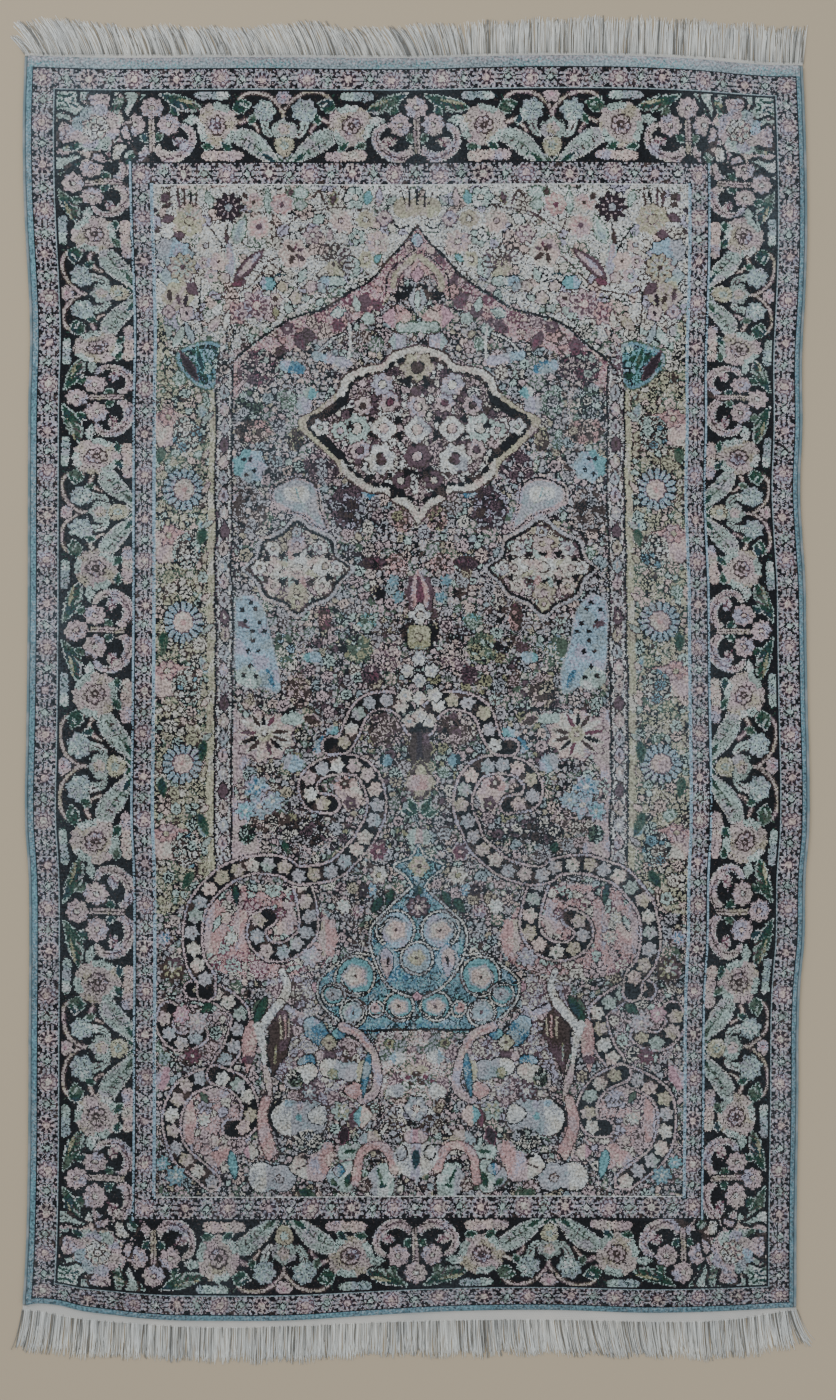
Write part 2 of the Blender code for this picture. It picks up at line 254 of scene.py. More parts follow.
class Chart:
    # A stretch of the knotting chart: yarn numbers, with the place of each column and row in millimetres

    def __init__(self, knots, xs, ys, seed):
        self.knots, self.xs, self.ys = knots, xs, ys
        luck = np.random.RandomState(seed)
        gridX, gridY = np.meshgrid(xs, ys)
        waves = luck.uniform(0.02, 0.11, (6, 2)) * luck.choice([-1, 1], (6, 2))
        turns = luck.uniform(0, 6.28, (2, 6))
        shifts = [sum(np.sin(w[0] * gridX + w[1] * gridY + p) for w, p in zip(waves, turn)) for turn in turns]
        self.x = gridX + rugPlan["wobble"] * shifts[0] / 2.4 + luck.normal(0, rugPlan["slip"], gridX.shape)
        self.y = gridY + rugPlan["wobble"] * shifts[1] / 2.4 + luck.normal(0, rugPlan["slip"], gridX.shape)
        lots = sum(np.sin(2.2 * w[1] * gridX - 1.9 * w[0] * gridY + p) for w, p in zip(waves, turns[0][::-1]))
        lots = lots + luck.normal(0, 0.9, gridX.shape)
        self.lot = (lots > -1.7).astype(int) + (lots > 1.7)     # which of its three kin a yarn takes here

    def at(self, x, y, reach, turn=0.0):
        # The knots within reach of a place, and their offsets from it, turned into the motif's own axes.
        columns = slice(*np.searchsorted(self.xs, (x - reach, x + reach)))
        rows = slice(*np.searchsorted(self.ys, (y - reach, y + reach)))
        across, along = self.x[rows, columns] - x, self.y[rows, columns] - y
        c, s = np.cos(turn), np.sin(turn)
        return (rows, columns), across * c + along * s, along * c - across * s

    def knot(self, where, mask, yarn):
        kin = np.array([yarnNumber[name] for name in dyeLots.get(yarn, (yarn,) * 3)])
        self.knots[where][mask] = kin[self.lot[where][mask]]

    def flower(self, x, y, size, yarn, petals=5, edge=None, heart=None, ring=None, tint=None, depth=0.2,
               heartSize=0.26, split=None, turn=0.0):
        # Radius = size, less depth times a cosine of the petals' angle; the heart is a disc with a ring
        where, u, v = self.at(x, y, size * 1.3 + 2, turn)
        rho, angle = np.hypot(u, v), np.arctan2(v, u)
        outline = size * (1 - depth * (0.5 - 0.5 * np.cos(petals * angle)))
        if edge:
            self.knot(where, rho < outline + 1.5, edge)
        self.knot(where, rho < outline, yarn)
        if tint:
            self.knot(where, (rho < outline * 0.72) & (np.cos(petals * angle) > 0.1), tint)
        if split:
            gap = np.abs(np.sin(petals * angle / 2 + np.pi / 2)) * rho * 2 / petals
            self.knot(where, (gap < 0.62) & (rho < outline) & (rho > size * 0.4), split)
        if ring:
            self.knot(where, rho < size * heartSize + 1.2, ring)
        if heart:
            self.knot(where, rho < size * heartSize, heart)

    def rosette(self, x, y, size, yarn, inner, ring=umber, tint=None, flat=1.0, petals=14, turn=0.0):
        # A scalloped disc with a ring of small outlined petals round a bead, as radii and cosines.
        where, u, v = self.at(x, y, size * 1.3 * max(flat, 1) + 2, turn)
        v = v / flat
        rho, angle = np.hypot(u, v), np.arctan2(v, u)
        scallop = size * (1 - 0.07 * (0.5 - 0.5 * np.cos(petals * angle)))
        self.knot(where, rho < scallop, yarn)
        if tint:
            self.knot(where, (rho < scallop) & (rho > size * 0.66) & (np.cos(3 * angle + x) > 0.15), tint)
        beads = size * 0.44
        wedge = np.abs((angle / 6.2832 * 7) % 1 - 0.5) * 6.2832 / 7
        petal = np.hypot(rho * np.cos(wedge) - beads * 0.62, rho * np.sin(wedge))
        self.knot(where, petal < beads * 0.42, ring)
        self.knot(where, petal < beads * 0.24, inner)
        self.knot(where, rho < beads * 0.26, ring)
        self.knot(where, rho < beads * 0.13, inner)

    def leaf(self, x, y, tipX, tipY, width, yarn, edge=None, teeth=1, centre=None, bend=0.0):
        # Half width = half the leaf times the sine of its run, with teeth; the spine is a parabola.
        length = np.hypot(tipX - x, tipY - y)
        where, u, v = self.at(x, y, length * 1.1 + width + abs(bend) + 3, np.arctan2(tipY - y, tipX - x))
        s = np.clip(u / length, 0, 1)
        v = v - 4 * bend * s * (1 - s)
        half = width / 2 * np.sin(np.pi * s ** 0.8) * (1 - 0.22 * np.abs(np.sin(np.pi * teeth * s)))
        inside = (u > -1.0) & (u < length + 1.0)
        if edge:
            self.knot(where, inside & (np.abs(v) < half + 1.4), edge)
        self.knot(where, inside & (np.abs(v) < half), yarn)
        if centre:
            self.knot(where, inside & (np.abs(v) < half * 0.5) & (s > 0.12) & (s < 0.85), centre)

    def cloud(self, x, y, length, width, yarn, lobes=10, edge=None, tint=None, turn=0.0):
        # Discs side by side along a middle line, or one dented disc where it is about as wide as long
        where, u, v = self.at(x, y, max(length, width) * 0.62 + 3, turn)
        if length > 1.5 * width:
            count = int(np.ceil(1.5 * length / width))
            places = (np.arange(count) - (count - 1) / 2) * (length - width) / (count - 1)
            sizes = width / 2 * (0.93 + 0.13 * np.cos(2.4 * np.arange(count) + x))
            inside = np.min([np.hypot(u - place, v) - size for place, size in zip(places, sizes)], axis=0)
        else:
            rho, angle = np.hypot(u / length, v / width) * 2, np.arctan2(v / width, u / length)
            inside = (rho / (1.06 - 0.2 * np.abs(np.sin(lobes * angle / 2))) - 1) * width / 2
        if edge:
            self.knot(where, inside < 1.5, edge)
        self.knot(where, inside < 0, yarn)
        if tint:
            self.knot(where, (inside < 0) & (u > length * 0.12), tint)

    def stroke(self, line, width, yarn):
        # Every knot within half the width of the line's points; width may change along the line.
        halves = np.broadcast_to(np.asarray(width, float) / 2, len(line))
        pitch = self.xs[1] - self.xs[0]
        pitchY = self.ys[1] - self.ys[0]
        reach = int(np.ceil(halves.max() / min(pitch, pitchY))) + 2
        steps = np.arange(-reach, reach + 1)
        columns = np.rint(np.interp(line[:, 0], self.xs, np.arange(len(self.xs)))).astype(int)
        rows = np.rint(np.interp(line[:, 1], self.ys, np.arange(len(self.ys)))).astype(int)
        columns = (columns[:, None, None] + steps[None, None, :]) + 0 * steps[None, :, None]
        rows = (rows[:, None, None] + steps[None, :, None]) + 0 * steps[None, None, :]
        inside = (columns >= 0) & (rows >= 0) & (columns < len(self.xs)) & (rows < len(self.ys))
        columns, rows = np.clip(columns, 0, len(self.xs) - 1), np.clip(rows, 0, len(self.ys) - 1)
        away = np.hypot(self.x[rows, columns] - line[:, 0, None, None],
                        self.y[rows, columns] - line[:, 1, None, None])
        hit = inside & (away < halves[:, None, None])
        kin = np.array([yarnNumber[name] for name in dyeLots.get(yarn, (yarn,) * 3)])
        self.knots[rows[hit], columns[hit]] = kin[self.lot[rows[hit], columns[hit]]]

    def chain(self, points, width, yarn, dash=4, gap=2):
        # A line of short dashes, as an outline looks that steps from knot to knot
        line = smoothLine(points, 0.8)
        step = np.arange(len(line))
        self.stroke(line[step % (dash + gap) < dash], width, yarn)

    def corded(self, points, yarn=white, dark=navy, width=2.2):
        # A pale line between two broken dark ones
        self.chain(points, width + 3.2, dark, 4, 1)
        self.chain(points, width, yarn, 6, 1)

    def draw(self, rows):
        # Each row gives one of the chart's ways of drawing, then its values, and last its extras if any
        for way, *values in rows:
            extra = values.pop() if isinstance(values[-1], dict) else {}
            way(self, *values, **extra)

    def stippled(self, rows, seed, pitch=7.0):
        # Ellipses with dented rims, filled with fine outlined cells
        for k, (x, y, length, width, ground, tints, dark) in enumerate(rows):
            where, u, v = self.at(x, y, max(length, width) * 0.7)
            rho = np.hypot(u / (length / 2), v / (width / 2))
            shape = rho < 1 - 0.12 * np.abs(np.sin(4 * np.arctan2(v, u) + x))
            self.meadow(where, shape, pitch, (ground, ground, tints[0]), tints, (dark, dark, navy), seed + k)

    def vine(self, points, width, yarn, edge=None, taper=0.0):
        # A stem along a smooth line, thinner toward its end by the taper, with a darker edge.
        line = smoothLine(points, 0.8)
        widths = width * (1 - taper * np.linspace(0, 1, len(line)))
        if edge:
            self.stroke(line, widths + 3.0, edge)
        self.stroke(line, widths, yarn)
        return line

    def patch(self, outline, yarn=None, edge=None, width=2.4):
        # A knot is inside a closed outline when a line to its right crosses it an odd number of times
        outline = np.reshape(outline, (-1, 2))
        line = smoothLine(np.vstack([outline, outline[:1]]), 2.5)
        low, high = line.min(axis=0) - 4, line.max(axis=0) + 4
        where = (slice(*np.searchsorted(self.ys, (low[1], high[1]))),
                 slice(*np.searchsorted(self.xs, (low[0], high[0]))))
        x, y = self.x[where], self.y[where]
        odd = np.zeros(x.shape, bool)
        for (x0, y0), (x1, y1) in zip(line[:-1], line[1:]):
            odd ^= ((y0 > y) != (y1 > y)) & (x < x0 + (y - y0) * (x1 - x0) / (y1 - y0 + 1e-9))
        if yarn:
            self.knot(where, odd, yarn)
        if edge:
            self.stroke(line, width, edge)
        return where, odd

    def nearest(self, where, pitch, luck):
        # Jittered grid of spots: distance to the nearest and the next one, the offset from it, its four lots
        x, y, size = self.x[where], self.y[where], 211
        jitter, lot = luck.uniform(-0.42, 0.42, (2, size, size)), luck.uniform(0, 1, (4, size, size))
        column, row = np.floor(x / pitch).astype(int), np.floor(y / pitch).astype(int)
        best, second = np.full((7,) + x.shape, 1e3), np.full(x.shape, 1e3)
        for across in (-1, 0, 1):
            for along in (-1, 0, 1):
                c, r = (column + across) % size, (row + along) % size
                u = x - (column + across + 0.5 + jitter[0, r, c]) * pitch
                v = y - (row + along + 0.5 + jitter[1, r, c]) * pitch
                away = np.hypot(u, v)
                closer = away < best[0]
                second = np.where(closer, best[0], np.minimum(second, away))
                best = np.where(closer, np.stack([away, u, v, *lot[:, r, c]]), best)
        return second, best

    def meadow(self, where, mask, pitch, grounds, tints, darks, seed, bare=0.0, blooms=2.6, ink=1.9):
        # Outlined cells like small petals and leaves, with bigger blooms among them. A cell's outline lies
        # where its two nearest spots are about as far away, and a bloom is a cosine outline round its spot
        luck = np.random.RandomState(seed)
        second, (rho, u, v, kind, tint, dark, turn) = self.nearest(where, pitch, luck)
        grain = luck.uniform(0, 1, rho.shape)

        def pick(names, lot):
            return np.array([yarnNumber[name] for name in names])[(lot * 0.999 * len(names)).astype(int)]

        made = pick(grounds, grain)
        cell = (kind > 0.35 + 0.4 * bare) & (second - rho > 1.2)
        made = np.where(cell, pick(tints, tint), made)
        line = (second - rho < ink) & (grain > 0.15) & (kind > bare)
        line |= (kind > 0.86) & (rho < 1.5) | (kind > 0.93) & (rho < 2.8) & (bare < 0.5)
        vein = np.abs(v * np.cos(turn * 6.28) + u * np.sin(turn * 6.28)) < 0.7
        line |= vein & (kind > 0.6) & (kind < 0.78) & (kind > bare)
        made = np.where(line, pick(darks, dark), made)
        _, (rho, u, v, kind, tint, dark, turn) = self.nearest(where, pitch * blooms, luck)
        petals = np.floor(5 + 4 * turn)
        angle = np.arctan2(v, u) + turn * 9.0
        reach = pitch * blooms * (0.24 + 0.15 * kind)
        outline = reach * (0.9 + 0.1 * np.cos(petals * angle))
        shown = (kind > 0.25 + bare * 0.5) & (rho < outline + 1.6)
        made = np.where(shown & (rho < outline), pick(tints, tint), made)
        gap = np.abs(np.cos(petals * angle / 2)) * rho * 2 / petals < 0.7
        inked = (rho > outline) | (gap & (rho > reach * 0.34) & (dark > 0.3)) | (np.abs(rho - reach
                * 0.3) < 0.7)
        made = np.where(shown & inked & (grain > 0.1) | (grain > 0.945), pick(darks, dark), made)
        self.knots[where][mask] = made[mask]

    def bed(self, outline, *facts, **more):
        # A meadow inside an outline
        self.meadow(*self.patch(outline), *facts, **more)


flower, leaf, cloud, vine = Chart.flower, Chart.leaf, Chart.cloud, Chart.vine


def guardBand(chart, places, depth):
    # Small rosettes at the given places, a crossed diamond half way between each two, and a dotted trellis
    where, along, across = chart.at(0, 0, 1e4)
    across = across - depth / 2
    nearest = np.argmin(np.abs(along[..., None] - places), axis=-1)
    da = along - places[nearest]
    rho, angle = np.hypot(da, across), np.arctan2(across, da)
    between = (places[1:] + places[:-1]) / 2
    cross = np.argmin(np.abs(along[..., None] - between), axis=-1)
    dx, dy = np.abs(along - between[cross]), np.abs(across)
    luck = np.random.RandomState(int(depth * 10) + len(places))
    grain = luck.uniform(0, 1, rho.shape)
    free = rho > 11.2
    near = free & (dx + 0.7 * dy < 9)
    chart.knot(where, near & (grain < 0.40), sage)
    chart.knot(where, near & (grain > 0.74), navy)
    chart.knot(where, free & (grain > 0.9), plum)
    chart.knot(where, (dx + dy < 4.4) & free, mint)
    for mask, yarn in (
            (np.abs(dx + dy - 5.2) < 1.0, navy), ((np.abs(dx - dy * 0.9 - 3.6) < 0.95) & (dy > 2), navy),
            (np.hypot(dx - 14.0, dy - 9.4) < 2.4, navy), (np.hypot(dx - 9.0, dy - 8.2) < 1.7, plum),
            ((np.abs(dy - 3.0) < 0.95) & (dx > 8) & (dx < 17), navy),
            ((dy > depth / 2 - 1.9) & (np.abs(along / 6.5 % 1 - 0.5) < 0.24), navy)):
        chart.knot(where, mask & free, yarn)
    dark = nearest % 2 == 0
    chart.knot(where, rho < 11.2, ash)
    chart.knot(where, rho < 10.2, rose)
    chart.knot(where, dark & (rho > 5.4) & (rho < 10.0) & (np.cos(8 * angle + np.pi) > -0.35), plum)
    pale = ~dark & (rho > 4.8)
    chart.knot(where, pale & (np.abs(rho - 9.4 + 0.9 * np.cos(8 * angle)) < 0.9), mauve)
    chart.knot(where, pale & (rho < 9.4) & (np.abs(np.sin(4 * angle)) * rho < 1.9), mauve)
    chart.knot(where, rho < 4.8, shell)
    chart.knot(where, np.abs(rho - 4.9) < 0.55, mauve)


def halfGroup(chart, x, s):
    # From a stemmed group toward the next lyre: s is 1 or -1, the side on which this half lies
    def spots(*places):
        return np.reshape(places, (-1, 2)) * (s, 1) + (x, 0)

    def leaf(a, b, tipA, tipB, width, yarn, edge=None, teeth=1, bend=0.0):
        chart.leaf(x + s * a, b, x + s * tipA, tipB, width, yarn, edge, teeth, bend=s * bend)

    def patch(yarn, edge, width, *places):
        chart.patch(spots(*places), yarn, edge, width)

    chart.vine(spots(104, 26, 105, 10, 116, 2.5, 133, 3, 148, 10, 162, 26), 3.4, beige, edge=umber)
    patch(rose, white, 1.8, 3, 74, 8, 85, 20, 88, 34, 84, 45, 76, 52, 64, 51, 50, 45, 42, 36, 40,
          38, 46, 44, 52, 43, 62, 36, 70, 24, 75, 12, 72, 8, 66)
    chart.vine(spots(9, 79, 20, 82, 33, 78, 43, 70, 47, 58, 46, 50), 1.5, umber)
    chart.vine(spots(14, 85, 28, 80, 36, 72), 1.5, mauve)
    patch(rose, white, 1.4, 26, 60, 33, 56, 40, 58, 42, 64, 36, 70, 34, 66, 28, 66)
    chart.vine(spots(31, 66, 35, 62, 40, 61), 1.8, ruby)
    chart.vine(spots(26, 57, 31, 61, 34, 67), 1.5, ruby)
    chart.cloud(x + s * 73, 5.5, 42, 11.5, slate, tint=mint, turn=0.0 if s > 0 else np.pi)
    chart.cloud(x + s * 86, 78.5, 54, 14, shell, tint=rose, turn=0.0 if s > 0 else np.pi)
    for k in (70, 80, 90):
        chart.vine(spots((k, 73), (k + 1, 79), (k, 84)), 1.0, beige)
    leaf(60, 22, 10, 3, 18, fern, mint, 7, -2)
    leaf(56, 26, 30, 14, 6, sage, None, 5, -2)
    patch(fern, None, 1, 38, 17, 46, 16, 57, 20, 50, 23, 41, 22)
    leaf(58, 17, 27, 9, 5, olive, None, 2)
    for a in (24, 33, 42, 51):
        chart.vine(spots((a, 16), (a + 5, 24)), 1.5, umber)
    chart.rosette(x + s * 79.5, 42, 28.5, beige, rose, tint=mint, flat=0.93, turn=x)
    leaf(57, 34, 37, 36, 13, mint, None, 2)
    leaf(98, 20, 120, 15, 19, fern, mint, 4)
    leaf(106, 14, 117, 20, 4, mint)
    chart.flower(x + s * 137, 24.5, 15, slate, 7, tint=mint, turn=0.5)
    patch(mint, umber, 1.3, 131, 37, 142, 37, 143, 47, 150, 54, 144, 58, 136, 52, 133, 44)
    chart.vine(spots(136, 40, 139, 47, 145, 54), 1.4, umber)
    chart.vine(spots(108, 38, 117, 35, 126, 43, 130, 50), 4.0, shell, taper=0.4, edge=umber)
    patch(sage, white, 2.0, 101, 62, 103, 48, 114, 46, 127, 52, 139, 63, 148, 76, 155, 87, 142, 87,
          126, 80, 112, 70)
    chart.vine(spots(108, 56, 122, 64, 134, 74, 146, 84), 1.5, moss)
    for a, b in ((112, 64), (118, 69), (124, 72), (130, 78)):
        chart.vine(spots((a, b), (a + 3, b - 7)), 2.2, fern if a % 4 else umber, taper=0.5)
    leaf(134, 76, 152, 88, 7, fern, mint, 2)
    for a, b, tipA, tipB in (
            (24, 18, 30, 34), (60, 66, 74, 68), (96, 72, 84, 62), (120, 40, 124, 28), (6, 62, 12, 50)):
        leaf(a, b, tipA, tipB, 9, fern, mint, 3)
    for k in (58, 66, 92, 100):
        chart.vine(spots((k, 3), (k + 3, 8)), 1.2, fern)
    chart.flower(x + s * 20.5, 41, 14.2, rose, 8, navy, cream, umber, depth=0.18, heartSize=0.19)


def groupMiddle(chart, x):
    # The stem, its outer flower and the wedge at its foot
    chart.vine([(x, 28), (x, 73)], 6.4, beige, edge=navy)
    chart.vine([(x, 34), (x, 75)], 1.3, umber)
    chart.patch([(x - 15, 90), (x, 75), (x + 15, 90)], navy)
    chart.flower(x, 19.4, 14.0, rose, 8, navy, cream, umber, depth=0.18, heartSize=0.2)


def lyreMiddle(chart, x):
    # Where two vines meet: a small flower outside them and a palmette of two lobes inside
    chart.flower(x, 6.5, 10, rose, 6, navy, pink)
    chart.vine([(x, 26), (x, 36)], 4.0, beige)
    chart.patch([(x, 32), (x + 7, 38), (x + 14, 41), (x + 14, 52), (x + 9, 59), (x - 9, 59), (x - 14, 52),
                 (x - 14, 41),
                 (x - 7, 38)], sage, navy, 1.4)
    chart.patch([(x, 56), (x + 10, 60), (x + 11, 70), (x + 5, 79), (x - 5, 79), (x - 11, 70), (x - 10, 60)],
                straw, navy, 1.4)
    chart.flower(x, 47, 8, beige, heart=rose)
    chart.flower(x, 67, 5.5, sage, heart=olive)
    for s in (1, -1):
        chart.leaf(x, 88, x + s * 10, 78, 5, fern, white)


def cornerPiece(chart):
    # The corner: a many-coloured rosette, leaves and palmettes, alike on both sides of the mitre
    for flip in (False, True):
        def spot(a, b):
            return (b, a) if flip else (a, b)

        chart.patch([spot(76, -2), spot(92, -2), spot(96, 6), spot(88, 20), spot(82, 34), spot(77, 22),
                     spot(80, 10)], mint,
                    navy, 5)
        chart.patch([spot(66, 4), spot(46, 2), spot(36, 8), spot(40, 18), spot(48, 26), spot(62, 22)], rose,
                    navy, 5)
        chart.vine([spot(40, 10), spot(52, 12), spot(60, 8)], 1.4, mauve)
        chart.patch([spot(84, 40), spot(74, 46), spot(78, 58), spot(88, 60)], rose, navy, 4)
    chart.patch((84, 84, 66, 84, 66, 68, 72, 64, 84, 66), cream, navy, 4)
    chart.patch((90, 70, 80, 74, 78, 84, 88, 88, 94, 80), mint, navy, 5)
    chart.leaf(82, 90, 92, 74, 7, fern)
    chart.patch((-2, -2, 24, -2, 26, 10, 34, 20, 22, 30, 10, 24, -2, 24), mint, navy, 5)
    for points in (
            ((2, 4), (10, 6), (18, 3)), ((3, 12), (10, 12), (14, 18)), ((2, 20), (8, 18)),
            ((20, 8), (18, 14), (24, 18))):
        chart.vine(points, 3.4, fern)
    for turn, yarn in enumerate((rose, mint, lilac, rose, sky, slate, lilac, rose)):
        angle = turn * 0.785 + 0.3
        chart.flower(46 + 19 * np.cos(angle), 44 + 19 * np.sin(angle), 10, yarn, depth=0.1)
    chart.flower(46, 44, 17, cream, 7, depth=0.16)
    for turn in range(7):
        angle = turn * 0.898
        chart.flower(46 + 10 * np.cos(angle), 44 + 10 * np.sin(angle), 4.6, cream, edge=umber,
                     heart=mint if turn % 2 else sage, depth=0.1, heartSize=0.5)
    chart.flower(46, 44, 4.4, cream, edge=umber, heart=rose, depth=0.1, heartSize=0.4)


def evenPlaces(first, last, count):
    return first + (last - first) * np.arange(count + 1) / count


borderPlan = {
    "real": (-767, -683, -598, -523, -439, -362, -274, -189, -98, -12, 67, 143, 211, 277, 351, 411, 476, 548,
             610,
             683, 767),                     # where the side's motifs lie on the cloth
    "shift": 6,
    # each guard: its two depths, how many steps along and across, and its first place from the middle
    "guards": ((13.2, 36.6, 28, 8, 30), (128.2, 151.2, 24, 6, 27)),
    "lines": ((0, 11.6, teal), (11.6, 2.0, navy), (36.6, 1.9, slate), (38.5, 1.9, navy),
              (126.3, 1.6, navy), (151.3, 1.3, white)),
}


def drawBorders(knots, xs, ys, seed):
    # Bands, guards and main border of one half, which runs from the middle line (x = 0) outward
    p = rugPlan
    out = np.minimum(p["halfWidth"] - xs[None, :], p["halfLength"] - np.abs(ys[:, None]))
    knots[out < p["main"]] = yarnNumber[navy]
    sideX = p["halfWidth"] - xs

    def strip(start, end, corner, nominal=None):
        # Charts of a band's side and of its two ends, each with depth counted from the outer line
        columns = np.flatnonzero((sideX > start) & (sideX < end))
        rows = np.flatnonzero(np.abs(ys) < p["halfLength"] - corner)
        long = knots[rows[0]:rows[-1] + 1, columns[0]:columns[-1] + 1][:, ::-1].T
        along = ys[rows] if nominal is None else np.interp(ys[rows], nominal[0], nominal[1])
        made = [Chart(long, along, sideX[columns][::-1] - start, seed + int(start))]
        inside = np.count_nonzero(sideX > corner)
        for upward in (1, -1):
            depth = p["halfLength"] - upward * ys
            rows = np.flatnonzero((depth > start) & (depth < end))
            part, places = knots[rows[0]:rows[-1] + 1, :inside], depth[rows] - start
            if upward > 0:
                part, places = part[::-1], places[::-1]
            made.append(Chart(part, xs[:inside], places, seed + int(start) + 3 + upward))
        return made

    places = np.array(borderPlan["real"]) + borderPlan["shift"]
    long, top, bottom = strip(p["outerGuard"], p["main"], p["outerGuard"],
                              (places, evenPlaces(-10, 10, 20) * 80.5))
    for chart, groups, lyres in (
            (long, (-644, -322, 0, 322, 644), (-483, -161, 161, 483)), (top, (0, 322), (161,)),
            (bottom, (0, 322), (161,))):
        for x in groups:
            for s in (1, -1):
                halfGroup(chart, x, s)
        for x in lyres:
            lyreMiddle(chart, x)
        for x in groups:
            groupMiddle(chart, x)
    for upward in (1, -1):
        depth = p["halfLength"] - upward * ys
        rows = np.flatnonzero((depth > p["outerGuard"]) & (depth < p["outerGuard"] + 110))
        columns = np.flatnonzero((sideX > p["outerGuard"]) & (sideX < p["outerGuard"] + 110))
        part, places = knots[rows[0]:rows[-1] + 1, columns[0]:columns[-1] + 1][:, ::-1], depth[rows]
        if upward > 0:
            part, places = part[::-1], places[::-1]
        cornerPiece(Chart(part, sideX[columns][::-1] - p["outerGuard"], places - p["outerGuard"], seed + 9))
    luck = np.random.RandomState(seed)
    grain = luck.uniform(0, 1, out.shape)
    middle = (out > p["outerGuard"]) & (out < p["main"])
    knots[middle & (grain < 0.055)] = yarnNumber[navy]
    knots[middle & (grain > 0.97)] = yarnNumber[umber]
    for start, end, along, across, first in borderPlan["guards"]:
        band = (out > start) & (out < end)
        grounds = np.array([yarnNumber[name] for name in (ash, rose, lilac, fog, ash)])
        knots[band] = grounds[luck.randint(0, 5, np.count_nonzero(band))]
        long, top, bottom = strip(start, end, start)
        ends = p["halfLength"] - (start + end) / 2
        guardBand(long, evenPlaces(-ends, ends, along), end - start)
        places = evenPlaces(first, p["halfWidth"] - (start + end) / 2, across)
        for chart in (top, bottom):
            guardBand(chart, np.concatenate([[-first], places]), end - start)
    for depth, width, yarn in borderPlan["lines"]:
        knots[(out > depth) & (out < depth + width)] = yarnNumber[yarn]
    upper = (ys[:, None] > p["halfLength"] - 12) & (out < 11.6)
    grain = luck.uniform(0, 1, out.shape) + 0.25 * np.sin(xs / 23 + seed) * np.sin(ys / 31)[:, None]
    knots[(out < 11.6) & (grain < np.where(upper, 0.96, 0.2))] = yarnNumber[slate]
    knots[(out < 11.6) & (grain > 0.93)] = yarnNumber[aqua]
    knots[(out < 12 - 9 * grain) & (grain > 0.3) & upper] = yarnNumber[ash]
    for depth, width in ((124.4, 3.0), (149.6, 3.2)):
        knots[(out > depth) & (out < depth + width) & (sideX < depth + width)
              & (grain < 0.85)] = yarnNumber[sky]


darkYarns = (navy, navy, umber, plum, navy, moss, navy)
mixedTints = (cream, rose, mint, beige, ash, shell, fog, sand, ash, rose, slate)
softGround = (ash, rose, fog, beige, ash, cream)

# The arch over the niche, from its apex on the middle line down to the column, in millimetres
archLine = (
    (-1, 565), (16, 544), (33, 525), (54, 501), (80, 485), (112, 465), (137, 457), (160, 449), (175, 441),
    (196, 426), (223, 404), (237, 388))

